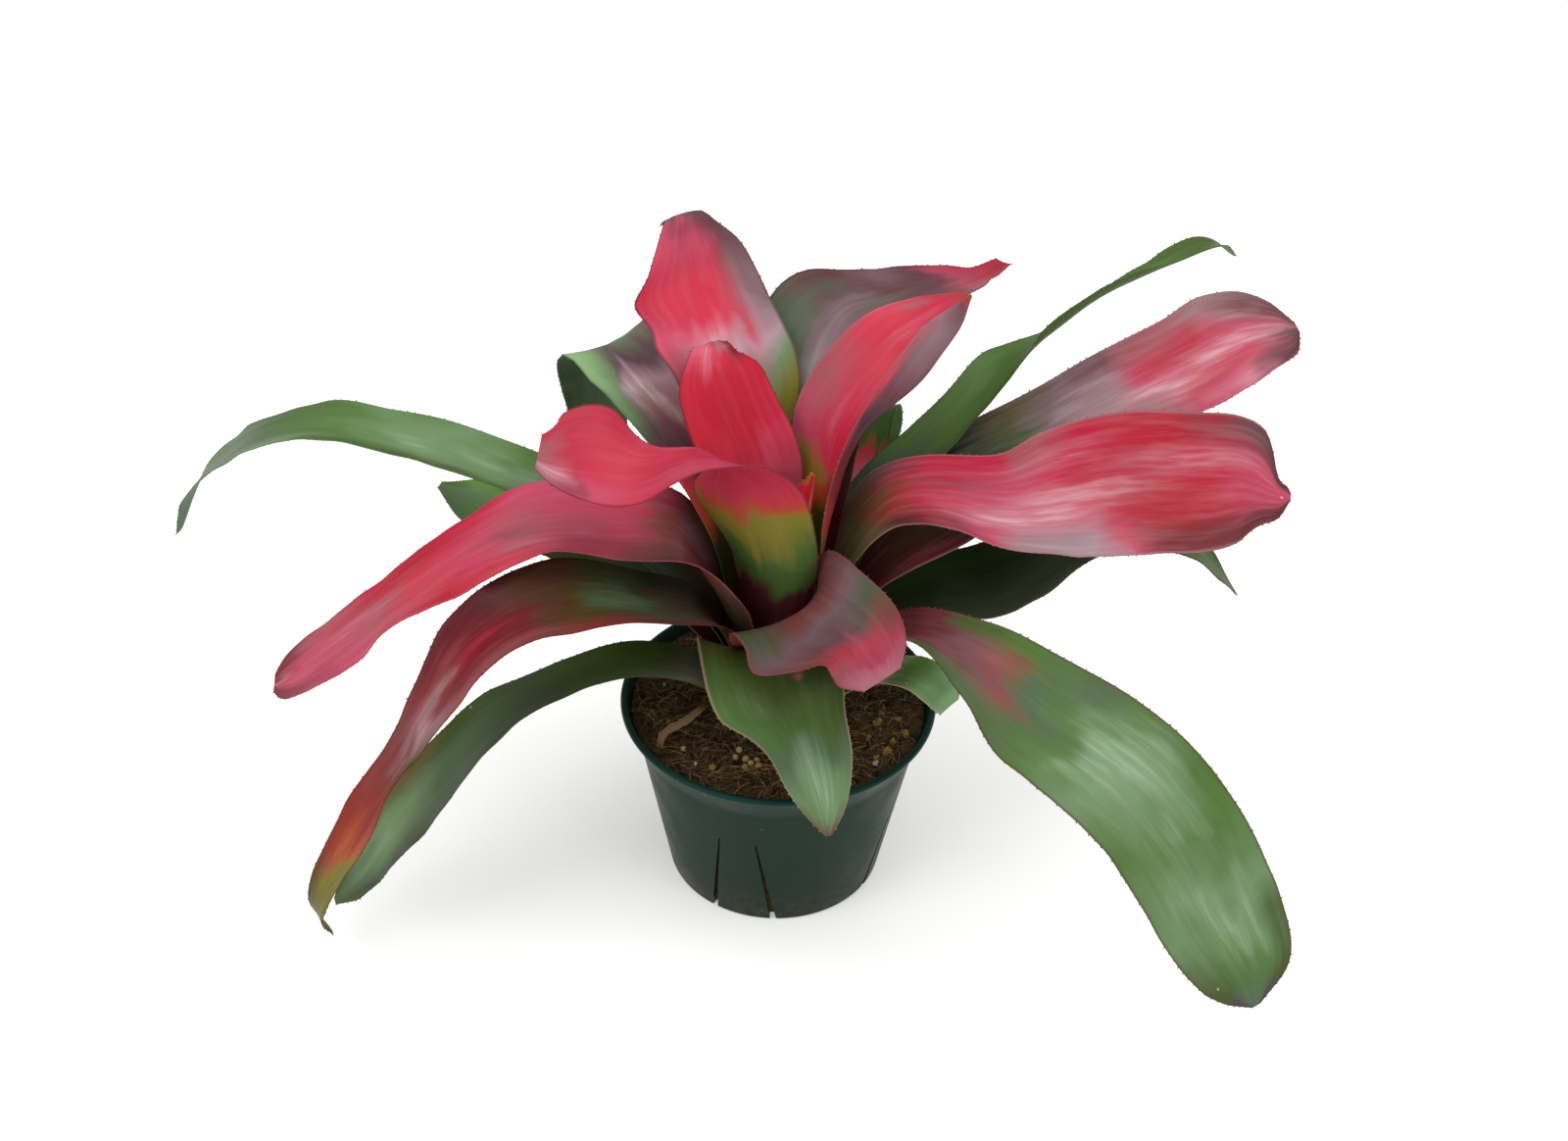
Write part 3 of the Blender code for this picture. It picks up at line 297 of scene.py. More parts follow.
# Leaves
# One entry for each leaf, in millimetres and degrees. The spine's points are (out, up, side) from the plant's
# axis. The rest is given at fractions of the leaf's length: cup bends both halves up, roll turns the blade
# about its spine, swing turns its heading, curl rolls one margin in and trim narrows one half.
leafForms = {
    # Innermost red spear and the green strip in front of it
    "leaf_01": dict(
        heading=20, spine=[(10, 175), (11, 200), (14, 226)],
        width=[(0, 24), (0.5, 28), (0.8, 24), (1, 4)], cup=[(0, 60), (1, 60)], sheath=0.8, wrap=85),
    "leaf_02": dict(
        heading=300, spine=[(12, 172), (14, 190), (16, 212)],
        width=[(0, 24), (0.5, 30), (0.8, 22), (1, 3)], cup=[(0, 60), (1, 60)], sheath=0.8, wrap=80),
    # Upright saturated red leaf with a rounded pink top
    "leaf_03": dict(
        heading=118,
        spine=[(13, 170), (15, 200), (18, 231, 7), (23, 249, 13), (28, 265, 17), (33, 275, 18),
               (37, 279, 17), (46, 276, 13)],
        width=[(0, 30), (0.3, 42), (0.5, 52), (0.75, 49), (0.88, 42), (0.95, 31), (1, 8)],
        cup=[(0, 70), (0.5, 25), (1, 5)],
        trimMinus=[(0, 0.8), (0.4, 0.7), (0.55, 0.8), (0.75, 0.84), (0.86, 0.82), (0.91, 0.6),
                    (0.96, 0.4), (1, 0.5)],
        trimPlus=[(0, 1), (0.8, 1), (0.86, 1), (0.91, 0.74), (0.96, 0.4), (1, 0.5)], sheath=0.35,
        wrap=68),
    # Coral leaf whose near margin rolls right in
    "leaf_04": dict(
        heading=30,
        spine=[(17, 172), (23, 206), (32, 240, -1), (46, 263, -4), (61, 280, -6), (77, 290, -5),
               (91, 298, -2)], width=[(0, 28), (0.3, 42), (0.6, 60), (0.8, 54), (0.92, 34), (1, 6)],
        cup=[(0, 60), (0.5, 30), (1, 20)],
        curlMinus=[(0, 0), (0.3, 40), (0.5, 110), (0.7, 165), (0.88, 170), (1, 140)],
        swing=[(0, 0), (0.34, 0), (0.6, 26), (1, 26)],
        trimPlus=[(0, 0.8), (0.4, 0.7), (0.55, 0.95), (1, 1.05)],
        trimMinus=[(0, 0.75), (0.3, 0.75), (0.42, 0.62), (0.52, 0.48), (0.62, 0.58), (0.7, 0.9),
                    (0.8, 1.42), (0.9, 1.5), (1, 1.2)], sheath=0.3, wrap=60),
    # Tallest leaf, grey and pink, with its tip bent back
    "leaf_05": dict(
        heading=126,
        spine=[(20, 172), (27, 209), (35, 249), (54, 270), (72, 292), (79, 312), (82, 322), (97, 311)],
        width=[(0, 30), (0.3, 42), (0.55, 64), (0.75, 58), (0.85, 44), (0.92, 28), (0.96, 16), (1, 8)],
        cup=[(0, 60), (0.4, 20), (1, 0)], wavePlus=(3, 5, 0.2),
        trimMinus=[(0, 0.7), (0.35, 0.6), (0.55, 1), (0.75, 1.1), (0.84, 1.12), (0.9, 0.8),
                    (0.95, 0.4), (1, 0.5)],
        trimPlus=[(0, 1), (0.6, 0.94), (0.68, 0.98), (0.72, 0.96), (0.78, 1.26), (0.83, 1),
                   (0.88, 0.78), (0.92, 0.7), (0.96, 0.6), (1, 0.7)], sheath=0.3, wrap=66),
    # Broad leaf behind on the right, with a pinched pink tip
    "leaf_06": dict(
        heading=62,
        spine=[(23, 172), (32, 216), (53, 256, 7), (74, 271, 5), (99, 270, -3), (130, 266, -14),
               (161, 260, -21), (178, 259, -24)],
        width=[(0, 30), (0.3, 44), (0.55, 66), (0.7, 54), (0.86, 32), (0.93, 16), (1, 9)],
        cup=[(0, 60), (0.4, 40), (1, 20)],
        trimPlus=[(0, 0.7), (0.35, 0.7), (0.44, 0.8), (0.52, 1.12), (0.58, 1.15), (0.66, 1),
                   (0.72, 0.92), (0.8, 1), (1, 1)], sheath=0.3, wrap=66),
    # Front leaf: green below, then turned on edge and out to the left, pink on its outer face
    "leaf_07": dict(
        heading=248,
        spine=[(20, 165), (22, 190), (26, 221, -6), (31, 246, -12), (37, 257, -23), (43, 256, -34),
               (50, 252, -48), (59, 256, -65), (66, 257, -78), (69, 258, -86)],
        width=[(0, 32), (0.25, 48), (0.45, 58), (0.65, 52), (0.85, 48), (0.95, 36), (1, 18)],
        cup=[(0, 70), (0.4, 30), (0.6, 10), (1, 0)],
        roll=[(0, 0), (0.3, 0), (0.5, 30), (0.65, 20), (0.85, -24), (1, -15)],
        swing=[(0, 0), (0.3, 0), (0.55, -40), (0.7, -60), (1, -62)], wavePlus=(2, 4, 0.1),
        trimMinus=[(0, 1), (0.5, 1), (0.58, 0.6), (0.66, 0.2), (0.74, 0.26), (0.8, 0.62), (0.86, 1.08),
                    (0.94, 1.25), (1, 1.2)], sheath=0.35, wrap=72),
    # Broad red leaf to the right, notched at its tip
    "leaf_08": dict(
        heading=5,
        spine=[(24, 160), (32, 186), (47, 212), (67, 217), (102, 211), (128, 215), (157, 219),
               (184, 219), (209, 219), (225, 213), (234, 210)],
        width=[(0, 32), (0.2, 36), (0.42, 36), (0.53, 46), (0.63, 62), (0.77, 68), (0.88, 64),
               (0.95, 54), (0.98, 40), (1, 6)], cup=[(0, 60), (0.4, 30), (1, 8)],
        roll=[(0, 0), (0.3, 20), (0.5, 38), (1, 38)],
        trimMinus=[(0, 0.6), (0.12, 0.6), (0.25, 1), (0.85, 1), (0.92, 0.88), (0.96, 0.64), (1, 0.6)],
        trimPlus=[(0, 1), (0.86, 1), (0.93, 0.98), (0.955, 0.72), (0.98, 0.3), (1, 0.6)], sheath=0.25,
        wrap=58),
    # Dark leaf behind on the left, its tip hanging down behind
    "leaf_09": dict(
        heading=138,
        spine=[(24, 158), (34, 192), (67, 230), (95, 245), (110, 251), (122, 228, -6), (132, 194, -14),
               (134, 166, -24)], width=[(0, 32), (0.3, 46), (0.55, 62), (0.8, 46), (0.94, 24), (1, 5)],
        cup=[(0, 60), (0.4, 30), (1, 5)], sheath=0.25, wrap=65),
    # Rose leaf to the left with a blunt tip
    "leaf_10": dict(
        heading=188,
        spine=[(26, 156), (37, 181), (51, 202), (80, 206), (110, 207), (139, 196), (172, 173),
               (202, 150), (226, 132), (236, 126)],
        width=[(0, 32), (0.2, 44), (0.3, 54), (0.5, 62), (0.66, 46), (0.78, 40), (0.9, 38), (0.96, 35),
               (0.985, 26), (1, 12)], cup=[(0, 60), (0.4, 20), (1, 5)], wavePlus=(3, 4, 0.3),
        trimPlus=[(0, 1.1), (0.12, 1.3), (0.22, 1.6), (0.32, 1.3), (0.42, 1), (0.58, 1), (0.68, 1.18),
                   (0.9, 1.25), (1, 1.1)],
        trimMinus=[(0, 1), (0.6, 1), (0.72, 1.15), (0.85, 1.1), (1, 1.1)], sheath=0.25, wrap=65),
    # Longest leaf, narrow and green, twisted on edge two thirds of the way out
    "leaf_11": dict(
        heading=35,
        spine=[(26, 150), (38, 180), (57, 202), (78, 214), (103, 227), (130, 244), (171, 263),
               (203, 269), (234, 273), (253, 273), (267, 263)],
        width=[(0, 34), (0.2, 38), (0.4, 34), (0.6, 24), (0.7, 14), (0.8, 26), (0.92, 18), (1, 4)],
        cup=[(0, 60), (0.3, 50), (1, 20)], roll=[(0, 0), (0.5, 0), (0.65, -60), (0.8, -30), (1, 0)],
        trimPlus=[(0, 1), (0.2, 0.8), (0.36, 0.72), (0.46, 0.9), (0.56, 1.3), (0.66, 1.3), (0.8, 0.7),
                   (0.92, 1.1), (1, 1)],
        trimMinus=[(0, 1), (0.34, 1), (0.44, 0.75), (0.6, 0.65), (0.72, 1), (1, 1)], sheath=0.2,
        wrap=60),
    # Short front leaf, grey and rose, with a waved lower margin
    "leaf_12": dict(
        heading=300,
        spine=[(30, 148), (34, 164, -4), (35, 180, -8), (46, 182, -6), (64, 180, 1), (82, 168, 6)],
        width=[(0, 34), (0.28, 56), (0.45, 76), (0.6, 78), (0.8, 68), (0.93, 50), (1, 26)],
        cup=[(0, 70), (0.45, 75), (0.65, 50), (0.8, 25), (1, 15)],
        roll=[(0, 0), (0.4, 15), (0.6, 18), (1, 5)], swing=[(0, 0), (0.5, 0), (1, 15)],
        trimPlus=[(0, 0.4), (0.2, 0.36), (0.36, 0.52), (0.5, 0.74), (0.8, 0.72), (1, 0.75)],
        trimMinus=[(0, 0.8), (0.4, 0.8), (0.5, 0.95), (0.62, 1.05), (0.69, 1.3), (0.76, 1),
                    (0.83, 0.62), (0.89, 0.72), (0.95, 0.95), (1, 1)],
        curlMinus=[(0, 0), (0.42, 0), (0.52, -16), (0.65, -26), (0.8, -10), (1, 0)],
        waveMinus=(3, 3, 0.1), sheath=0.35, wrap=55),
    # Dark olive leaf that arches down to the left, hooked at its tip
    "leaf_13": dict(
        heading=210,
        spine=[(29, 146), (41, 165), (67, 177), (100, 190), (132, 190), (154, 180), (172, 160),
               (189, 134), (206, 114), (225, 88), (236, 67), (231, 50)],
        width=[(0, 34), (0.2, 44), (0.38, 60), (0.52, 50), (0.64, 32), (0.8, 30), (0.93, 20), (1, 5)],
        cup=[(0, 60), (0.3, 30), (1, 10)],
        trimPlus=[(0, 1), (0.36, 0.84), (0.5, 0.56), (0.6, 0.82), (0.68, 0.45), (0.74, 0.3),
                   (0.8, 0.8), (1, 1)], sheath=0.2, wrap=60),
    # Upper right leaf, dark below and pink along its length
    "leaf_14": dict(
        heading=25,
        spine=[(31, 148), (46, 176), (76, 198), (106, 208), (142, 219), (178, 231), (215, 240),
               (242, 245), (263, 245), (272, 245)],
        width=[(0, 34), (0.25, 38), (0.45, 36), (0.58, 40), (0.7, 50), (0.84, 60), (0.93, 50),
               (0.975, 34), (1, 6)], cup=[(0, 60), (0.4, 30), (1, 5)],
        roll=[(0, 0), (0.4, 20), (1, 25)],
        trimPlus=[(0, 1), (0.3, 1), (0.42, 1.25), (0.56, 1.15), (0.7, 0.95), (0.8, 0.86), (0.88, 1),
                   (1, 1)],
        trimMinus=[(0, 1), (0.12, 1), (0.22, 1.7), (0.34, 2.1), (0.44, 1.8), (0.56, 1), (0.75, 1),
                    (0.88, 0.84), (0.96, 0.8), (1, 1)], sheath=0.22, wrap=62),
    # Long green leaf that arches out to the far left
    "leaf_15": dict(
        heading=168,
        spine=[(31, 144), (53, 166), (98, 190), (130, 201), (167, 212), (192, 215), (220, 218),
               (253, 207), (279, 186), (295, 167), (305, 142)],
        width=[(0, 34), (0.2, 44), (0.4, 46), (0.7, 34), (0.9, 24), (1, 7)],
        cup=[(0, 60), (0.3, 50), (0.6, 40), (0.75, 10), (1, 10)],
        trimPlus=[(0, 1), (0.25, 0.6), (0.41, 0.6), (0.52, 1), (1, 1)],
        trimMinus=[(0, 1), (0.76, 1), (0.84, 1.6), (0.93, 1.9), (1, 1.5)], sheath=0.2, wrap=60),
    # Broad green leaf that arches down to the right in front
    "leaf_16": dict(
        heading=322,
        spine=[(34, 143), (72, 175), (110, 179), (142, 165, 3), (170, 159, 4), (194, 151, 4),
               (220, 132, 3), (240, 109, 2), (259, 88, 1), (266, 71)],
        width=[(0, 36), (0.15, 34), (0.3, 32), (0.4, 42), (0.5, 56), (0.65, 60), (0.85, 60), (0.93, 50),
               (0.97, 34), (1, 5)], cup=[(0, 60), (0.3, 30), (1, 5)],
        roll=[(0, 0), (0.3, 10), (0.5, 20), (1, 20)],
        trimMinus=[(0, 0.7), (0.24, 0.4), (0.3, 0.45), (0.4, 1), (0.55, 1.08), (0.72, 1.06), (1, 1)],
        sheath=0.2, wrap=54),
    # Dark leaf at the back, its end hanging
    "leaf_17": dict(
        heading=66,
        spine=[(34, 142), (46, 170), (75, 191), (83, 208), (90, 216), (104, 194), (112, 168)],
        width=[(0, 36), (0.3, 40), (0.6, 40), (0.85, 30), (1, 5)], cup=[(0, 60), (0.3, 40), (1, 10)],
        sheath=0.2, wrap=58),
    # Short leaf on the left, under the long green one
    "leaf_18": dict(
        heading=164, spine=[(35, 136), (60, 155), (101, 168), (136, 175), (158, 180), (171, 185)],
        width=[(0, 36), (0.3, 42), (0.6, 46), (0.88, 38), (1, 5)], cup=[(0, 60), (0.3, 30), (1, 10)],
        sheath=0.2, wrap=56),
    # Dark leaf on the right, its tip turned down
    "leaf_19": dict(
        heading=8,
        spine=[(36, 134), (50, 146), (72, 154), (95, 157), (116, 168), (139, 182), (167, 184),
               (195, 172), (211, 158), (221, 146)],
        width=[(0, 36), (0.2, 44), (0.4, 58), (0.55, 50), (0.7, 36), (0.9, 28), (1, 4)],
        cup=[(0, 60), (0.3, 30), (1, 10)],
        trimPlus=[(0, 1), (0.7, 1), (0.82, 1.4), (0.94, 1.6), (1, 1)],
        trimMinus=[(0, 1), (0.36, 1), (0.5, 1.2), (0.64, 0.9), (0.85, 0.5), (1, 1)], sheath=0.2,
        wrap=56),
    # Green leaf that folds down in front over the rim, with a dry notch in its left margin
    "leaf_20": dict(
        heading=270,
        spine=[(34, 130), (38, 149, -5), (44, 162, -6), (56, 162, -2), (70, 152, 5), (82, 138, 13),
               (94, 120, 20), (102, 105, 24)],
        width=[(0, 38), (0.35, 60), (0.55, 64), (0.7, 52), (0.82, 38), (0.93, 20), (1, 3)],
        cup=[(0, 60), (0.4, 20), (1, 10)],
        trimPlus=[(0, 0.7), (0.4, 0.75), (0.52, 0.98), (0.62, 0.88), (0.7, 0.84), (0.8, 0.92), (1, 1)],
        trimMinus=[(0, 1), (0.58, 1), (0.66, 0.76), (0.74, 0.68), (0.86, 0.78), (1, 0.8)], sheath=0.3,
        wrap=46),
    # Grey green leaf that arches down to the left in front
    "leaf_21": dict(
        heading=200,
        spine=[(37, 121), (54, 132), (77, 138), (108, 134), (137, 121), (165, 95), (190, 69), (209, 43),
               (221, 28)],
        width=[(0, 36), (0.22, 32), (0.36, 28), (0.5, 31), (0.8, 43), (0.93, 30), (1, 5)],
        cup=[(0, 60), (0.3, 30), (1, 5)],
        trimPlus=[(0, 1), (0.5, 1), (0.7, 1.28), (0.86, 1.12), (1, 1)],
        trimMinus=[(0, 1), (0.3, 0.85), (0.42, 0.85), (0.52, 1.08), (0.62, 1.05), (1, 1)], sheath=0.2,
        wrap=45),
    # Small leaf low on the right with a torn end
    "leaf_22": dict(
        heading=322, spine=[(37, 119), (52, 137), (69, 151), (83, 155), (93, 153), (97, 146)],
        width=[(0, 36), (0.3, 36), (0.6, 30), (0.8, 24), (0.93, 24), (1, 14)],
        cup=[(0, 60), (0.4, 20), (1, 10)], sheath=0.3, wrap=52),
    # Low leaf at the back
    "leaf_23": dict(
        heading=95, spine=[(42, 124), (62, 150), (120, 168), (180, 152), (214, 120)],
        width=[(0, 36), (0.3, 42), (0.6, 44), (0.85, 32), (1, 5)], cup=[(0, 60), (0.3, 30), (1, 10)],
        sheath=0.2, wrap=52),
}

# One entry for each leaf: ramps of colour from foot to tip for the minus margin, the middle, the plus margin
# and the underside, then patches as (along, across, reach along, reach across, colour, strength).
# Some ramp stops and patches below are painted highlights and painted shade, noted at each leaf.
leafLooks = {
    "leaf_01": dict(
        tone=2.3,
        middle=[(0, "moss"), (0.6, "olive"), (0.8, "brick"), (0.88, "cherry"), (1, "crimson")],
        plus=[(0, "moss"), (0.84, "cherry"), (0.92, "coral"), (0.96, "yellowGreen"), (1, "yellowGreen")],
        under=[(0, "moss"), (0.7, "olive"), (0.9, "brick"), (1, "wine")]),
    "leaf_02": dict(
        middle=[(0, "moss"), (0.6, "leafGreen"), (0.9, "sage"), (1, "orange")],
        under=[(0, "moss"), (0.6, "leafGreen"), (0.85, "sage"), (1, "brick")]),
    "leaf_03": dict(
        tone=1.3,
        middle=[(0, "moss"), (0.35, "olive"), (0.45, "brick"), (0.52, "rose"), (0.59, "cherry"),
                (0.67, "crimson"), (0.87, "crimson"), (0.93, "cherry"), (0.965, "dustyRose"),
                (1, "greyPink")],
        minus=[(0, "moss"), (0.45, "dustyRose"), (0.55, "rose"), (0.66, "cherry"), (0.86, "crimson"),
               (0.93, "wine"), (1, "plum")],
        plus=[(0, "moss"), (0.5, "cherry"), (0.7, "crimson"), (0.86, "crimson"), (0.91, "rose"),
              (0.95, "blush"), (1, "plum")],
        patches=[(0.92, 0.40, 0.05, 0.45, "blush", 0.6), (0.97, -0.1, 0.04, 0.7, "greyMauve", 0.5),
                 (0.60, -0.35, 0.10, 0.30, "rose", 0.5), (0.955, 0.75, 0.03, 0.35, "plum", 0.55),
                 (0.89, -0.45, 0.03, 0.2, "wine", 0.35)],
        under=[(0, "moss"), (0.5, "wine"), (0.9, "plum"), (1, "greyMauve")],
        margin="maroon"),
    "leaf_04": dict(
        tone=1.2,
        middle=[(0, "moss"), (0.27, "olive"), (0.36, "moss"), (0.41, "orange"), (0.48, "coral"),
                (0.60, "cherry"), (0.72, "coral"), (0.92, "cherry"), (0.97, "brick"), (1, "olive")],
        minus=[(0, "moss"), (0.35, "yellowGreen"), (0.45, "coral"), (0.6, "cherry"), (0.9, "coral"),
               (1, "brick")],
        plus=[(0, "moss"), (0.34, "brick"), (0.41, "orange"), (0.44, "yellowGreen"), (0.48, "yellowGreen"),
              (0.53, "rose"), (0.66, "dustyRose"), (0.80, "coral"), (0.93, "cherry"), (1, "brick")],
        patches=[(0.455, 0.45, 0.035, 0.4, "yellowGreen", 0.8), (0.60, 0.35, 0.08, 0.15, "blush", 0.35),
                 (0.82, 0.35, 0.10, 0.15, "blush", 0.3), (0.90, 0.75, 0.05, 0.2, "greyMauve", 0.5)],
        under=[(0, "olive"), (0.28, "olive"), (0.35, "brick"), (0.42, "wine"), (0.58, "maroon"),
               (0.66, "duskPlum"), (0.76, "plum"), (0.88, "greyMauve"), (0.96, "plum"), (1, "brick")],
        underPatches=[(0.72, -0.97, 0.20, 0.10, "coral", 0.8)],
        margin="greyPink", marginStrength=0.4, pale=0.16),
    "leaf_05": dict(
        tone=1.18,
        middle=[(0, "moss"), (0.45, "olive"), (0.54, "sage"), (0.60, "greyPink"), (0.66, "blush"),
                (0.72, "coral"), (0.80, "coral"), (0.87, "rose"), (0.93, "plum"), (1, "duskPlum")],
        minus=[(0, "moss"), (0.42, "yellowGreen"), (0.52, "yellowGreen"), (0.59, "sage"),
               (0.65, "lavender"), (0.73, "greyMauve"), (0.84, "plum"), (1, "duskPlum")],
        plus=[(0, "moss"), (0.50, "olive"), (0.58, "dustyRose"), (0.68, "rose"), (0.80, "coral"),
              (0.87, "rose"), (0.92, "plum"), (1, "maroon")],
        patches=[(0.65, -0.30, 0.06, 0.45, "lavender", 0.75), (0.655, 0.05, 0.05, 0.4, "pinkWhite", 0.6),
                 (0.72, 0.35, 0.03, 0.2, "plum", 0.3), (0.76, -0.15, 0.04, 0.2, "cherry", 0.5)],
        under=[(0, "olive"), (0.5, "greyMauve"), (0.8, "plum"), (1, "duskPlum")],
        margin="margin", pale=0.16, deep=0.16),
    "leaf_06": dict(
        tone=0.84,
        middle=[(0, "moss"), (0.3, "olive"), (0.44, "sage"), (0.52, "lavender"), (0.60, "greyMauve"),
                (0.68, "plum"), (0.80, "plum"), (0.87, "rose"), (0.94, "cherry"), (1, "crimson")],
        minus=[(0, "deepGreen"), (0.25, "wine"), (0.5, "sage"), (0.66, "greyGreen"), (0.78, "plum"),
               (0.87, "rose"), (1, "cherry")],
        plus=[(0, "moss"), (0.45, "leafGreen"), (0.56, "greyGreen"), (0.63, "plum"), (0.72, "greyMauve"),
              (0.80, "plum"), (0.86, "rose"), (1, "cherry")],
        # The palest, sage and lavender patches are a painted highlight.
        patches=[(0.50, 0.30, 0.08, 0.18, "palest", 0.5), (0.55, 0.62, 0.10, 0.30, "greyGreen", 0.9),
                 (0.66, 0.05, 0.08, 0.25, "sage", 0.4), (0.58, 0.25, 0.10, 0.2, "lavender", 0.5)],
        under=[(0, "wine"), (0.5, "maroon"), (0.85, "brick"), (1, "wine")],
        margin="margin"),
    "leaf_07": dict(
        middle=[(0, "olive"), (0.45, "coral"), (0.60, "rose"), (0.70, "cherry"), (0.82, "coral"),
                (0.93, "cherry"), (1, "dustyRose")],
        minus=[(0, "olive"), (0.5, "coral"), (0.64, "rose"), (0.85, "cherry"), (1, "cherry")],
        plus=[(0, "olive"), (0.5, "cherry"), (0.65, "rose"), (0.78, "coral"), (0.9, "rose"), (1, "plum")],
        patches=[(0.74, 0.6, 0.09, 0.3, "rose", 0.6), (0.96, 0.65, 0.04, 0.4, "pinkWhite", 0.6),
                 (0.92, 0.85, 0.03, 0.3, "maroon", 0.5)],
        # The dark bark and maroon band near the foot of the underside is the leaf's maroon base, darkened with
        # painted shade.
        under=[(0, "bark"), (0.18, "maroon"), (0.25, "maroon"), (0.28, "leafGreen"), (0.34, "leafGreen"),
               (0.39, "yellowGreen"), (0.45, "yellowGreen"), (0.49, "orange"), (0.53, "coral"),
               (0.60, "cherry"), (1, "rose")],
        underPatches=[(0.37, -0.1, 0.07, 0.45, "yellowGreen", 0.9), (0.30, 0.9, 0.05, 0.4, "moss", 0.7),
                      (0.38, 0.75, 0.08, 0.4, "leafGreen", 0.7), (0.48, -0.2, 0.05, 0.6, "orange", 0.6)],
        margin="maroon"),
    "leaf_08": dict(
        tone=0.95,
        middle=[(0, "deepGreen"), (0.18, "olive"), (0.28, "olive"), (0.34, "brick"), (0.40, "cherry"),
                (0.47, "rose"), (0.56, "rose"), (0.64, "cherry"), (0.74, "crimson"), (0.86, "crimson"),
                (0.94, "rose"), (1, "rose")],
        minus=[(0, "deepGreen"), (0.22, "moss"), (0.30, "olive"), (0.35, "maroon"), (0.42, "wine"),
               (0.50, "rose"), (0.56, "greyPink"), (0.66, "lavender"), (0.72, "rose"), (0.80, "wine"),
               (1, "maroon")],
        plus=[(0, "deepGreen"), (0.26, "olive"), (0.33, "plum"), (0.40, "cherry"), (0.50, "cherry"),
              (0.58, "dustyRose"), (0.66, "cherry"), (0.80, "crimson"), (0.92, "plum"), (1, "maroon")],
        # The pinkWhite and blush patches are painted highlights, and the strong pale streaks are partly the
        # leaf's own streaks and partly painted highlight.
        patches=[(0.56, -0.35, 0.14, 0.35, "pinkWhite", 0.65), (0.66, -0.05, 0.16, 0.30, "pinkWhite", 0.5),
                 (0.84, 0.30, 0.16, 0.30, "blush", 0.55), (0.44, 0.25, 0.09, 0.25, "wine", 0.45),
                 (0.62, 0.55, 0.14, 0.25, "blush", 0.4), (0.60, -0.85, 0.11, 0.35, "lavender", 0.7),
                 (0.84, -0.30, 0.12, 0.35, "crimson", 0.6)],
        under=[(0, "olive"), (0.4, "wine"), (1, "plum")],
        margin="greyPink", pale=0.30),
    "leaf_09": dict(
        tone=2.6,
        middle=[(0, "moss"), (0.2, "olive"), (0.40, "duskPlum"), (0.47, "plum"), (0.53, "greyMauve"),
                (0.60, "duskPlum"), (0.68, "greyGreen"), (0.85, "darkGreen"), (1, "darkGreen")],
        minus=[(0, "moss"), (0.40, "duskPlum"), (0.60, "duskPlum"), (0.72, "plum"), (1, "darkGreen")],
        plus=[(0, "bark"), (0.12, "maroon"), (0.18, "darkGreen"), (0.25, "moss"), (0.32, "orange"),
              (0.37, "coral"), (0.42, "duskPlum"), (0.50, "greyGreen"), (0.62, "sage"), (0.75, "greyGreen"),
              (1, "darkGreen")],
        # The lavender and palest patches are a painted highlight.
        patches=[(0.53, 0.40, 0.05, 0.22, "lavender", 0.6), (0.505, 0.15, 0.05, 0.20, "palest", 0.35),
                 (0.57, 0.20, 0.05, 0.16, "lavender", 0.4), (0.60, -0.20, 0.07, 0.30, "duskPlum", 0.7)],
        under=[(0, "moss"), (0.5, "darkGreen"), (1, "darkGreen")],
        margin="sage"),
    "leaf_10": dict(
        tone=1.12,
        middle=[(0, "deepGreen"), (0.14, "maroon"), (0.25, "wine"), (0.32, "roseBrown"), (0.40, "rose"),
                (0.52, "dustyRose"), (0.60, "rose"), (0.70, "coral"), (0.80, "dustyRose"), (0.92, "rose"),
                (1, "wine")],
        minus=[(0, "deepGreen"), (0.2, "maroon"), (0.28, "wine"), (0.36, "rose"), (0.52, "rose"),
               (0.62, "cherry"), (0.72, "crimson"), (0.82, "cherry"), (0.92, "dustyRose"), (1, "wine")],
        plus=[(0, "deepGreen"), (0.18, "olive"), (0.28, "maroon"), (0.36, "roseBrown"), (0.44, "rose"),
              (0.55, "coral"), (0.64, "crimson"), (0.74, "cherry"), (0.84, "rose"), (1, "wine")],
        patches=[(0.36, -0.35, 0.05, 0.25, "coral", 0.6), (0.50, 0.30, 0.09, 0.22, "blush", 0.35),
                 (0.54, -0.05, 0.11, 0.20, "plum", 0.45), (0.72, 0.15, 0.08, 0.12, "plum", 0.35),
                 (0.97, 0.0, 0.03, 0.5, "blush", 0.6), (0.84, -0.1, 0.08, 0.3, "blush", 0.35)],
        under=[(0, "moss"), (0.4, "wine"), (1, "plum")],
        margin="dustyRose", pale=0.22, deep=0.18),
    "leaf_11": dict(
        tone=1.25,
        middle=[(0, "deepGreen"), (0.22, "teal"), (0.34, "greyGreen"), (0.42, "leafGreen"), (0.58, "grass"),
                (0.8, "leafGreen"), (1, "moss")],
        minus=[(0, "deepGreen"), (0.25, "darkGreen"), (0.40, "grass"), (0.7, "grass"), (1, "moss")],
        plus=[(0, "deepGreen"), (0.24, "teal"), (0.36, "leafGreen"), (0.7, "leafGreen"), (1, "moss")],
        patches=[(0.30, 0.2, 0.07, 0.5, "teal", 0.8), (0.5, 0.4, 0.08, 0.2, "sage", 0.25)],
        under=[(0, "moss"), (0.5, "moss"), (1, "leafGreen")],
        margin="moss"),
    "leaf_12": dict(
        tone=0.7,
        middle=[(0, "olive"), (0.36, "roseBrown"), (0.52, "plum"), (0.62, "roseBrown"), (0.70, "greyMauve"),
                (0.78, "plum"), (0.86, "coral"), (0.93, "rose"), (1, "blush")],
        minus=[(0, "olive"), (0.4, "roseBrown"), (0.52, "plum"), (0.62, "greyGreen"), (0.70, "greyMauve"),
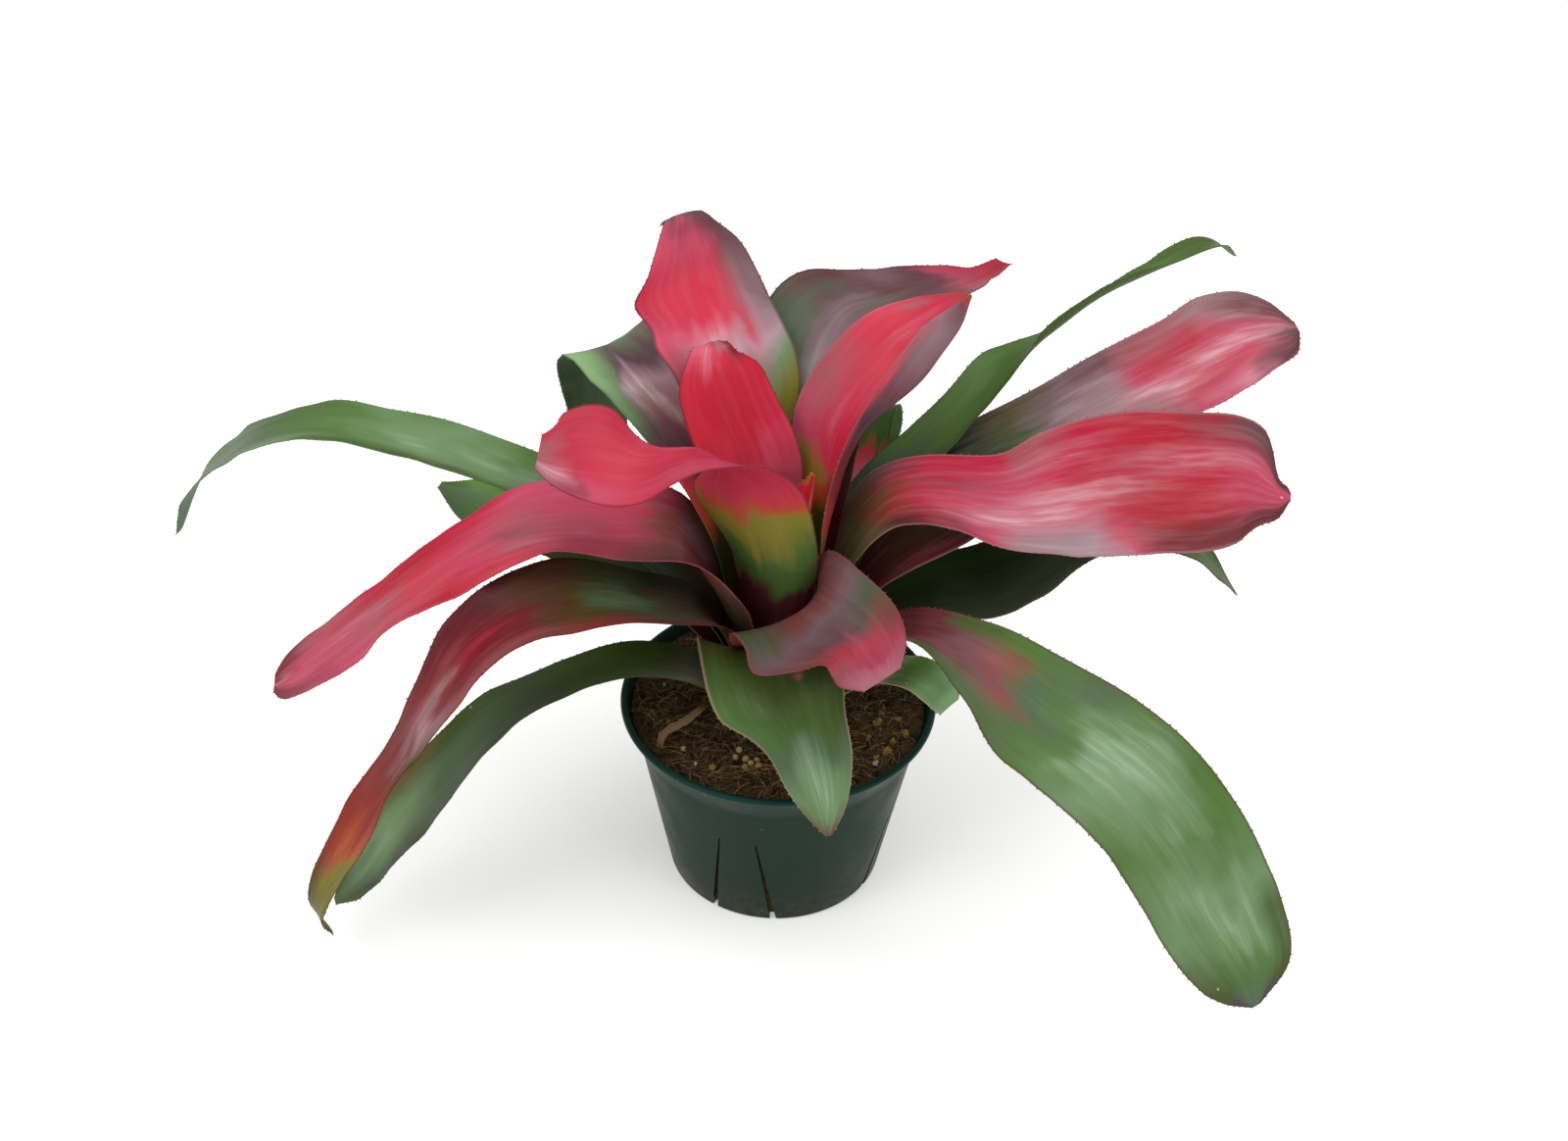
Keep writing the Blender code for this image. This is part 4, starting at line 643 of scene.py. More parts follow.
               (0.78, "roseBrown"), (0.86, "cherry"), (0.93, "dustyRose"), (1, "blush")],
        plus=[(0, "olive"), (0.45, "brick"), (0.56, "roseBrown"), (0.66, "greyMauve"), (0.74, "greyGreen"),
              (0.84, "roseBrown"), (0.92, "rose"), (1, "blush")],
        patches=[(0.77, 0.35, 0.06, 0.30, "greyGreen", 0.6), (0.60, -0.3, 0.06, 0.2, "roseBrown", 0.5),
                 (0.84, -0.35, 0.06, 0.18, "crimson", 0.8), (0.90, 0.15, 0.05, 0.15, "crimson", 0.5),
                 (0.80, 0.75, 0.05, 0.2, "brick", 0.6), (0.97, 0.1, 0.04, 0.6, "blush", 0.7)],
        under=[(0, "olive"), (0.3, "roseBrown"), (0.5, "brick"), (0.62, "roseBrown"), (1, "plum")],
        margin="roseBrown", deep=0.2),
    "leaf_13": dict(
        tone=0.82,
        # The greyGreen stop at 0.29 in the middle and the sage patch at 0.3 along are a painted highlight
        # streak.
        middle=[(0, "deepGreen"), (0.10, "brick"), (0.17, "brown"), (0.23, "olive"), (0.29, "greyGreen"),
                (0.34, "olive"), (0.40, "brown"), (0.46, "wine"), (0.54, "wine"), (0.60, "roseBrown"),
                (0.66, "greyPink"), (0.71, "roseBrown"), (0.77, "brick"), (0.85, "orange"),
                (0.89, "yellowGreen"), (1, "moss")],
        minus=[(0, "deepGreen"), (0.12, "brown"), (0.22, "darkGreen"), (0.30, "moss"), (0.37, "brown"),
               (0.46, "maroon"), (0.58, "wine"), (0.68, "roseBrown"), (0.78, "brick"), (0.87, "brick"),
               (0.92, "olive"), (1, "olive")],
        plus=[(0, "deepGreen"), (0.12, "brick"), (0.24, "brown"), (0.33, "brick"), (0.44, "roseBrown"),
              (0.54, "dustyRose"), (0.64, "greyPink"), (0.70, "moss"), (0.76, "brick"), (0.83, "orange"),
              (0.88, "yellowGreen"), (1, "olive")],
        patches=[(0.30, -0.20, 0.06, 0.50, "sage", 0.7), (0.21, 0.15, 0.06, 0.45, "olive", 0.5),
                 (0.55, -0.10, 0.08, 0.30, "crimson", 0.6), (0.50, 0.25, 0.08, 0.30, "brick", 0.5),
                 (0.64, 0.1, 0.06, 0.55, "pinkWhite", 0.5), (0.46, 0.6, 0.08, 0.3, "dustyRose", 0.5),
                 (0.62, -0.5, 0.08, 0.3, "cherry", 0.4)],
        under=[(0, "olive"), (0.6, "wine"), (0.75, "brick"), (0.88, "yellowGreen"), (1, "olive")],
        margin="maroon", shine=0.10),
    "leaf_14": dict(
        middle=[(0, "deepGreen"), (0.2, "wine"), (0.3, "olive"), (0.42, "deepGreen"), (0.5, "moss"),
                (0.57, "greyMauve"), (0.65, "greyPink"), (0.72, "rose"), (0.80, "cherry"), (0.88, "rose"),
                (0.95, "dustyRose"), (1, "plum")],
        minus=[(0, "deepGreen"), (0.3, "wine"), (0.45, "darkGreen"), (0.6, "greyMauve"), (0.70, "greyPink"),
               (0.8, "rose"), (0.88, "blush"), (0.95, "plum"), (1, "maroon")],
        plus=[(0, "deepGreen"), (0.4, "deepGreen"), (0.52, "olive"), (0.6, "greyMauve"), (0.68, "plum"),
              (0.76, "dustyRose"), (0.86, "greyPink"), (1, "maroon")],
        # The pinkWhite patches are painted highlights.
        patches=[(0.62, 0.0, 0.07, 0.8, "lavender", 0.55), (0.74, -0.30, 0.13, 0.35, "pinkWhite", 0.7),
                 (0.80, 0.30, 0.12, 0.30, "crimson", 0.8), (0.84, -0.45, 0.10, 0.30, "crimson", 0.55),
                 (0.88, 0.0, 0.12, 0.30, "pinkWhite", 0.6), (0.92, 0.55, 0.06, 0.3, "greyPink", 0.6),
                 (0.94, -0.7, 0.05, 0.4, "plum", 0.6), (0.48, -0.2, 0.06, 0.7, "moss", 0.6)],
        under=[(0, "olive"), (0.5, "maroon"), (1, "plum")],
        margin="greyPink", pale=0.35),
    "leaf_15": dict(
        tone=1.25,
        middle=[(0, "deepGreen"), (0.12, "maroon"), (0.2, "moss"), (0.35, "greyGreen"), (0.45, "sage"),
                (0.58, "sage"), (0.68, "leafGreen"), (0.80, "greyGreen"), (0.95, "greyGreen"), (1, "moss")],
        minus=[(0, "deepGreen"), (0.25, "moss"), (0.40, "leafGreen"), (0.52, "sage"), (0.64, "leafGreen"),
               (0.80, "greyGreen"), (0.9, "leafGreen"), (1, "moss")],
        # The dark moss stop at 0.55 on the plus side is painted shade on the steep near half of the blade.
        plus=[(0, "deepGreen"), (0.3, "moss"), (0.42, "grass"), (0.55, "moss"), (0.64, "grass"),
              (0.70, "sage"), (0.85, "greyGreen"), (1, "moss")],
        # The mint patches are painted highlights, and the moss patch on the plus side is painted shade.
        patches=[(0.55, -0.10, 0.06, 0.35, "mint", 0.45), (0.44, -0.3, 0.05, 0.4, "mint", 0.35),
                 (0.55, 0.55, 0.09, 0.35, "moss", 0.75), (0.72, -0.3, 0.06, 0.3, "leafGreen", 0.5),
                 (0.985, 0.0, 0.02, 0.8, "deepGreen", 0.7)],
        under=[(0, "moss"), (0.5, "moss"), (1, "greyGreen")],
        margin="sage"),
    "leaf_16": dict(
        tone=1.12,
        middle=[(0, "deepGreen"), (0.20, "maroon"), (0.28, "maroon"), (0.34, "plum"), (0.42, "roseBrown"),
                (0.48, "greyGreen"), (0.56, "leafGreen"), (0.61, "sage"), (0.68, "sage"),
                (0.75, "leafGreen"), (0.84, "sage"), (0.92, "leafGreen"), (1, "greyGreen")],
        minus=[(0, "deepGreen"), (0.24, "moss"), (0.32, "moss"), (0.40, "greyGreen"), (0.50, "leafGreen"),
               (0.60, "sage"), (0.72, "leafGreen"), (0.85, "sage"), (0.95, "moss"), (1, "duskPlum")],
        plus=[(0, "deepGreen"), (0.24, "maroon"), (0.30, "maroon"), (0.36, "moss"), (0.44, "leafGreen"),
              (0.54, "greyGreen"), (0.62, "leafGreen"), (0.75, "leafGreen"), (0.86, "sage"), (0.95, "moss"),
              (1, "duskPlum")],
        # The mint patches are painted highlights.
        patches=[(0.61, 0.1, 0.07, 1.0, "mint", 0.6), (0.70, 0.0, 0.10, 0.8, "mint", 0.35),
                 (0.85, 0.1, 0.10, 0.8, "mint", 0.42), (0.77, 0.15, 0.09, 0.4, "grass", 0.45),
                 (0.72, -0.35, 0.10, 0.14, "grass", 0.35), (0.66, 0.75, 0.12, 0.12, "grass", 0.55),
                 (0.40, -0.1, 0.06, 0.25, "plum", 0.6), (0.74, 0.5, 0.10, 0.14, "moss", 0.3)],
        under=[(0, "moss"), (0.5, "moss"), (1, "greyGreen")],
        margin="margin"),
    "leaf_17": dict(
        tone=6.0,
        middle=[(0, "deepGreen"), (0.4, "moss"), (0.50, "plum"), (0.58, "wine"), (0.64, "darkGreen"),
                (1, "darkGreen")],
        under=[(0, "moss"), (0.6, "darkGreen"), (1, "deepGreen")]),
    "leaf_18": dict(
        tone=3.0,
        middle=[(0, "deepGreen"), (0.12, "maroon"), (0.22, "maroon"), (0.35, "darkGreen"), (0.55, "moss"),
                (0.8, "leafGreen"), (0.92, "greyGreen"), (1, "greyGreen")],
        minus=[(0, "deepGreen"), (0.3, "darkGreen"), (0.8, "moss"), (0.93, "leafGreen"), (1, "moss")],
        under=[(0, "moss"), (1, "darkGreen")],
        margin="dustyRose"),
    "leaf_19": dict(
        tone=2.0,
        middle=[(0, "deepGreen"), (0.18, "maroon"), (0.24, "deepGreen"), (0.5, "deepGreen"),
                (0.65, "darkGreen"), (0.8, "moss"), (0.9, "moss"), (1, "darkGreen")],
        plus=[(0, "deepGreen"), (0.16, "maroon"), (0.24, "darkGreen"), (0.5, "darkGreen"), (0.8, "moss"),
              (1, "darkGreen")],
        patches=[(0.34, 0.5, 0.08, 0.3, "darkGreen", 0.5), (0.90, -0.2, 0.06, 0.3, "grass", 0.5)],
        under=[(0, "moss"), (0.5, "darkGreen"), (1, "darkGreen")],
        margin="roseBrown", pale=0.05, shine=0.10),
    "leaf_20": dict(
        middle=[(0, "deepGreen"), (0.35, "bark"), (0.46, "moss"), (0.58, "moss"), (0.68, "grass"),
                (0.76, "greyGreen"), (0.84, "sage"), (0.94, "sage"), (1, "brown")],
        minus=[(0, "deepGreen"), (0.38, "bark"), (0.46, "moss"), (0.60, "leafGreen"), (0.75, "greyGreen"),
               (0.88, "sage"), (1, "brown")],
        plus=[(0, "deepGreen"), (0.4, "bark"), (0.54, "moss"), (0.70, "moss"), (0.78, "greyGreen"),
              (0.9, "sage"), (1, "brown")],
        # The mint patches are painted highlights.
        patches=[(0.86, 0.1, 0.09, 0.7, "mint", 0.55), (0.78, -0.1, 0.08, 0.6, "mint", 0.35),
                 (0.57, -0.5, 0.06, 0.3, "sage", 0.3), (0.68, 0.1, 0.05, 0.25, "moss", 0.5),
                 (0.545, 0.3, 0.015, 0.15, "dustyRose", 0.7)],
        under=[(0, "olive"), (0.5, "moss"), (1, "moss")],
        margin="paleMargin", marginStrength=0.35),
    "leaf_21": dict(
        # The raised tone and the lighter greens from 0.2 to 0.5 along are painted light that lifts the leaf
        # where it lies in leaf_13's shadow.
        tone=1.35,
        middle=[(0, "deepGreen"), (0.14, "olive"), (0.20, "leafGreen"), (0.30, "leafGreen"),
                (0.40, "greyGreen"), (0.52, "greyGreen"), (0.66, "greyGreen"), (0.80, "sage"),
                (0.93, "greyGreen"), (1, "moss")],
        minus=[(0, "deepGreen"), (0.16, "moss"), (0.30, "leafGreen"), (0.44, "greyGreen"), (0.60, "moss"),
               (0.72, "olive"), (0.85, "moss"), (1, "darkGreen")],
        plus=[(0, "deepGreen"), (0.12, "yellowGreen"), (0.18, "leafGreen"), (0.30, "leafGreen"),
              (0.45, "greyGreen"), (0.60, "greyGreen"), (0.75, "greyGreen"), (0.9, "darkGreen"),
              (1, "moss")],
        patches=[(0.82, 0.0, 0.09, 0.35, "sage", 0.45), (0.52, 0.2, 0.10, 0.15, "teal", 0.35),
                 (0.30, 0.1, 0.04, 0.12, "olive", 0.4), (0.90, 0.4, 0.05, 0.15, "leafGreen", 0.4)],
        under=[(0, "moss"), (1, "greyGreen")],
        margin="brown", pale=0.08, shine=0.10),
    "leaf_22": dict(
        tone=2.6,
        middle=[(0, "deepGreen"), (0.4, "moss"), (0.6, "leafGreen"), (0.75, "leafGreen"), (0.88, "sage"),
                (1, "sage")],
        minus=[(0, "deepGreen"), (0.5, "moss"), (0.62, "dustyRose"), (0.72, "moss"), (1, "sage")],
        under=[(0, "moss"), (0.6, "moss"), (1, "sage")],
        margin="paleMargin"),
    "leaf_23": dict(
        middle=[(0, "deepGreen"), (0.3, "moss"), (0.6, "greyGreen"), (0.85, "leafGreen"), (1, "moss")],
        under=[(0, "moss"), (0.6, "moss"), (1, "greyGreen")]),
}

leafBuild = dict(
    rows=96, halfColumns=11, thickness=0.8, marginThickness=0.42, firstFootOut=7.0, footOutStep=0.9,
    firstFootUp=136.0, footUpStep=1.8, firstFlare=0.10, flareStep=0.02, sheathRise=16.0,
    pleats=0.05, crinkle=0.5, pleatCounts=((2.3, 1.0), (4.1, 0.8), (6.7, 0.5)),
    crinkleSpacings=((0.047, 0.8), (0.029, 0.5), (0.018, 0.3)), firstTooth=0.16,
)
toothBuild = {"Spacing": 0.0036, "Length": 0.0011, "Width": 0.00042, "Lean": 0.55, "Missing": 0.22}
toothSizes = {2: 0.55, 3: 1.15}  # least and most


# Curves through a few given stations
def throughStations(keys, at):
    keys = np.array(keys, float)
    stations = keys[:, 0]
    values = keys[:, 1:]
    last = len(stations) - 1
    slopes = np.zeros_like(values)
    for k in range(last + 1):
        before = max(k - 1, 0)
        after = min(k + 1, last)
        slopes[k] = (values[after] - values[before]) / (stations[after] - stations[before])
    at = np.clip(at, stations[0], stations[-1])
    k = np.clip(np.searchsorted(stations, at, side="right") - 1, 0, last - 1)
    span = (stations[k + 1] - stations[k])[:, None]
    q = (at - stations[k])[:, None] / span
    rise = q * q * (3 - 2 * q)
    startPull = (q ** 3 - 2 * q ** 2 + q) * span * slopes[k]
    endPull = (q ** 3 - q ** 2) * span * slopes[k + 1]
    return values[k] * (1 - rise) + values[k + 1] * rise + startPull + endPull


def stationValues(form, key, at, default):
    return throughStations(form[key], at)[:, 0] if key in form else np.full(len(at), float(default))


def evenPath(points, count):
    points = np.array(points, float)
    reach = np.concatenate([[0], np.cumsum(np.linalg.norm(np.diff(points, axis=0), axis=1))])
    dense = throughStations(np.column_stack([reach, points]), np.linspace(0, reach[-1], 400))
    length = np.concatenate([[0], np.cumsum(np.linalg.norm(np.diff(dense, axis=0), axis=1))])
    steps = np.linspace(0, length[-1], count)
    return np.stack([np.interp(steps, length, dense[:, k]) for k in range(3)], -1), length[-1]


def unitVectors(vectors):
    return vectors / np.maximum(np.linalg.norm(vectors, axis=-1, keepdims=True), 1e-9)


def surfaceNormals(surface):
    return unitVectors(np.cross(np.gradient(surface, axis=0), np.gradient(surface, axis=1)))


def eased(x):
    x = np.clip(x, 0, 1)
    return x * x * (3 - 2 * x)


def halfSection(bend, curl, columns):
    # One half of the cross section from the midrib out, for a half width of 1
    count = 24 * columns
    u = (np.arange(count) + 0.5) / count
    inward = np.clip((u - 0.1) / 0.9, 0, 1) ** 1.3
    turn = bend[:, None] * u[None] + curl[:, None] * inward[None]
    start = np.zeros((len(bend), 1))
    across = np.concatenate([start, np.cumsum(np.cos(turn), 1) / count], 1)
    lift = np.concatenate([start, np.cumsum(np.sin(turn), 1) / count], 1)
    at = np.linspace(0, count, columns + 1).astype(int)
    return across[:, at], lift[:, at]


def leafSurface(form, order, rows, halfColumns):
    # The blade's middle surface, as rows from foot to tip and columns from the minus to the plus margin
    heading = math.radians(form["heading"])
    outWay = np.array([math.cos(heading), math.sin(heading), 0])
    sideWay = np.array([-math.sin(heading), math.cos(heading), 0])
    footOut = leafBuild["firstFootOut"] + leafBuild["footOutStep"] * order
    footUp = leafBuild["firstFootUp"] - leafBuild["footUpStep"] * order
    flare = leafBuild["firstFlare"] + leafBuild["flareStep"] * order
    rise = leafBuild["sheathRise"]
    stations = [(footOut, footUp, 0), (footOut + flare * rise, footUp + rise, 0)]
    stations = np.array(stations + [(*station, 0)[:3] for station in form["spine"]], float) * mm
    line = stations[:, 0:1] * outWay + stations[:, 2:3] * sideWay + stations[:, 1:2] * np.array([0, 0, 1.0])
    dense, length = evenPath(line, 401)
    t = 1 - (1 - np.linspace(0, 1, rows + 1)) ** 1.15
    spine = np.stack([np.interp(t * 400, np.arange(401), dense[:, k]) for k in range(3)], -1)
    slope = np.gradient(dense, axis=0)
    along = unitVectors(np.stack([np.interp(t * 400, np.arange(401), slope[:, k]) for k in range(3)], -1))

    turned = heading + np.radians(stationValues(form, "swing", t, 0))
    level = np.stack([-np.sin(turned), np.cos(turned), 0 * turned], -1)
    across = unitVectors(level - np.sum(along * level, 1)[:, None] * along)
    above = np.cross(along, across)
    roll = np.radians(stationValues(form, "roll", t, 0))[:, None]
    across, above = across * np.cos(roll) + above * np.sin(roll), above * np.cos(roll) - across * np.sin(roll)

    half = np.maximum(stationValues(form, "width", t, 40) / 2 * mm, 0.0004)
    cup = np.radians(stationValues(form, "cup", t, 0))
    plusX, plusY = halfSection(cup, np.radians(stationValues(form, "curlPlus", t, 0)), halfColumns)
    minusX, minusY = halfSection(cup, np.radians(stationValues(form, "curlMinus", t, 0)), halfColumns)
    plusTrim = stationValues(form, "trimPlus", t, 1)[:, None]
    minusTrim = stationValues(form, "trimMinus", t, 1)[:, None]
    x = np.concatenate([-minusX[:, ::-1] * minusTrim, plusX[:, 1:] * plusTrim], 1)
    y = np.concatenate([minusY[:, ::-1] * minusTrim, plusY[:, 1:] * plusTrim], 1)
    offset = x[..., None] * across[:, None] + y[..., None] * above[:, None]
    blade = spine[:, None] + half[:, None, None] * offset

    s = np.linspace(-1, 1, 2 * halfColumns + 1)
    for key, side in (("wavePlus", 1), ("waveMinus", -1)):
        if key in form:
            height, count, phase = form[key]
            margin = np.clip(side * s, 0, 1) ** 2.2
            middle = np.sin(np.pi * np.clip((t - 0.2) / 0.8, 0, 1)) ** 0.7
            wave = height * mm * np.sin(2 * np.pi * (count * t + phase)) * middle
            blade += wave[:, None, None] * margin[None, :, None] * above[:, None]

    out = spine @ outWay  # near the foot the leaf is a sector of a shell round the plant's axis
    side = spine @ sideWay
    wrap = np.minimum(half / np.maximum(out, 0.004), math.radians(form["wrap"]))
    turn = heading + s[None] * wrap[:, None] * np.where(s[None] > 0, plusTrim, minusTrim)
    shell = np.stack([out[:, None] * np.cos(turn), out[:, None] * np.sin(turn),
                      np.repeat(spine[:, 2:3], len(s), 1)], -1) + (side[:, None] * sideWay)[:, None]
    free = eased((t - form["sheath"] * 0.35) / (form["sheath"] * 1.3))[:, None, None]
    return shell * (1 - free) + blade * free, t, s, length


def leafRelief(surface, t, s, length, order):
    # Faint pleats along the blade and a small crinkle of its margins, which the solid leaves out
    pick = random.Random(40 + order)
    height = np.zeros((len(t), len(s)))
    free = eased((t - 0.2) / 0.25)[:, None] * eased((1 - t) / 0.06)[:, None]
    for count, share in leafBuild["pleatCounts"]:
        swayShare = pick.uniform(0.6, 1.6)
        sway = swayShare * np.sin(2 * np.pi * (pick.uniform(0.8, 1.8) * t[:, None] + pick.random()))
        height += share * leafBuild["pleats"] * np.sin(2 * np.pi * (count * s[None] + pick.random()) + sway)
    for sign in (-1, 1):
        edge = np.clip(sign * s, 0, 1)[None] ** 5
        wave = np.zeros(len(t))
        for spacing, share in leafBuild["crinkleSpacings"]:
            wave += share * np.sin(2 * np.pi * (length * t / spacing + pick.random()))
        height += leafBuild["crinkle"] * edge * wave[:, None]
    return surface + surfaceNormals(surface) * (height * free * mm)[..., None]


def leafSolid(surface, t, s, length, order):
    # Both faces of the blade and the strips that close its edge, with each point's place on the leaf
    rows, columns = surface.shape[0] - 1, surface.shape[1] - 1
    thick = leafBuild["thickness"] + (leafBuild["marginThickness"] - leafBuild["thickness"]) * np.abs(s) ** 3
    step = surfaceNormals(surface) * (thick * mm / 2)[None, :, None]
    points = np.concatenate([(surface + step).reshape(-1, 3), (surface - step).reshape(-1, 3)])
    below = (rows + 1) * (columns + 1)
    faces = []
    for row in range(rows):
        for column in range(columns):
            a = row * (columns + 1) + column
            b = a + columns + 1
            faces.append((a, b, b + 1, a + 1))
            faces.append((below + a, below + a + 1, below + b + 1, below + b))
    border = list(range(columns)) + [row * (columns + 1) + columns for row in range(rows)]
    border += [rows * (columns + 1) + column for column in range(columns, 0, -1)]
    border += [row * (columns + 1) for row in range(rows, 0, -1)]
    for k, a in enumerate(border):
        b = border[(k + 1) % len(border)]
        faces.append((a, b, below + b, below + a))
    where = np.stack(np.broadcast_arrays(s[None], t[:, None], (t * length + order)[:, None]), -1)
    where = where.reshape(-1, 3)
    return points, faces, np.concatenate([where, where]), np.repeat([0.0, 1.0], below)


def makeTeethTree():
    # Small hooked teeth at even steps along the margins, each leaning to the tip
    tree, given, out = newGroup("marginTeeth", "GeometryNodeTree", {
        "Geometry": "Geometry", "Spacing": 0.004, "Length": 0.001, "Width": 0.0004, "Lean": 0.5,
        "Missing": 0.2, "Seed": 1, "Material": "Material"}, {"Geometry": "Geometry"})
    curve = addNode(tree, "GeometryNodeMeshToCurve", None, {"Mesh": given["Geometry"]})
    even = addNode(tree, "GeometryNodeResampleCurve", {"mode": "LENGTH"},
                   {"Curve": curve.outputs["Curve"], "Length": given["Spacing"]})

    tooth = addNode(tree, "GeometryNodeMeshCone", {"fill_type": "NONE"}, {
        "Vertices": 4, "Radius Top": 0.0, "Radius Bottom": given["Width"], "Depth": given["Length"]})
    height = axesOf(tree, addNode(tree, "GeometryNodeInputPosition").outputs[0])["Z"]
    tip = addNode(tree, "GeometryNodeStoreNamedAttribute", {"data_type": "FLOAT", "domain": "POINT"}, {
        "Name": "toothTip", "Geometry": tooth.outputs["Mesh"],
        "Value": maths(tree, "DIVIDE", height, given["Length"])})

    outward = addNode(tree, "GeometryNodeInputNamedAttribute", {"data_type": "FLOAT_VECTOR"},
                      {"Name": "outward"})
    tangent = addNode(tree, "GeometryNodeInputTangent")
    leaning = vectorMaths(tree, "SCALE", {0: tangent.outputs[0], "Scale": given["Lean"]})
    aim = vectorMaths(tree, "ADD", {0: outward.outputs["Attribute"], 1: leaning})
    turn = addNode(tree, "FunctionNodeAlignRotationToVector", {"axis": "Z"}, {"Vector": aim})
    kept = addNode(tree, "FunctionNodeRandomValue", {"data_type": "FLOAT"}, {"Seed": given["Seed"]})
    chosen = addNode(tree, "FunctionNodeCompare", {"data_type": "FLOAT", "operation": "GREATER_THAN"},
                     {0: kept.outputs[1], 1: given["Missing"]})
    size = addNode(tree, "FunctionNodeRandomValue", {"data_type": "FLOAT"},
                   {**toothSizes, "Seed": maths(tree, "ADD", given["Seed"], 7)})
    stand = addNode(tree, "GeometryNodeInstanceOnPoints", None, {
        "Points": even.outputs["Curve"], "Selection": chosen.outputs[0], "Instance": tip.outputs["Geometry"],
        "Rotation": turn.outputs[0], "Scale": size.outputs[1]})
    return endTree(tree, stand.outputs[0], given, out)


def marginTeeth(surface, t, s, length, order, tree, material):
    # The teeth of one leaf: points, faces, places on the leaf and how near each point is to a tooth's tip
    first = int(np.searchsorted(t, leafBuild["firstTooth"]))
    points, outward, where, edges = [], [], [], []
    for column, inner in ((0, 1), (-1, -2)):
        start = len(points)
        for row in range(first, len(t)):
            points.append(surface[row, column])
            outward.append(unitVectors(surface[row, column] - surface[row, inner]))
            where.append((s[column], t[row], t[row] * length + order))
            if len(points) > start + 1:
                edges.append((len(points) - 2, len(points) - 1))
    line = newObject("marginLine", points, [], edges)
    setPointData(line.data, "outward", "FLOAT_VECTOR", outward)
    setPointData(line.data, "leafPlace", "FLOAT_VECTOR", where)
    growMesh(line, tree, {**toothBuild, "Seed": order, "Material": material})
    mesh = line.data
    result = (getPointData(mesh, "position", 3), [tuple(p.vertices) for p in mesh.polygons],
              getPointData(mesh, "leafPlace", 3), getPointData(mesh, "toothTip", 1))
    bpy.data.objects.remove(line, do_unlink=True)
    return result


leafFinish = dict(
    wander={"Feather": 0.045, "Sway": 0.13}, streaks={"Broad Count": 2.6, "Fine Count": 9.0}, veinCount=42.0,
    patchStreak=0.9, patchFloor=0.5, mottleScale=26.0, mottleShare=0.8, dullColour=(0.16, 0.13, 0.12, 1.0),
    dullShare=0.10, lightColour=(0.66, 0.58, 0.56, 1.0), lightShare=0.22, shade=(0.20, 0.22, 0.20, 1.0),
    shadeShare=0.45, veinShade=0.03, specks={"Scale": 105.0, "Share": 0.035, "Size": 0.07}, speckShare=0.7,
    rough=0.40, streakRough=0.10, underRough=0.12, bumpStrength=0.10, bumpHeight=0.0002, fineHeight=0.5,
    zoneEdge=(0.2, 0.85), marginEdge=(0.955, 0.985), toothEdge=(0.2, 0.9),
)
plainLook = dict(tone=1.0, pale=0.10, deep=0.10, shine=0.16, margin="moss", marginStrength=0.55, patches=(),
                 underPatches=())


def colourRamp(tree, stops, along):
    ramp = addNode(tree, "ShaderNodeValToRGB", None, {"Fac": along})
    for element, (position, name) in zip(ramp.color_ramp.elements, (stops[0], stops[-1])):
        element.position = position
        element.color = paint(name)
    for position, name in stops[1:-1]:
        ramp.color_ramp.elements.new(position).color = paint(name)
    return ramp.outputs["Color"]


def addPatches(tree, colour, patches, across, along, streaks):
    for middleAlong, middleAcross, reachAlong, reachAcross, name, strength in patches:
        mask = place(tree, softPatch, {
            "Across": across, "Along": along, "Middle Across": middleAcross, "Middle Along": middleAlong,
            "Reach Across": reachAcross, "Reach Along": reachAlong})["Mask"]
        share = maths(tree, "MULTIPLY", maths(tree, "MULTIPLY", mask, streaks), strength)
        colour = blendColour(tree, share, colour, paint(name))
    return colour


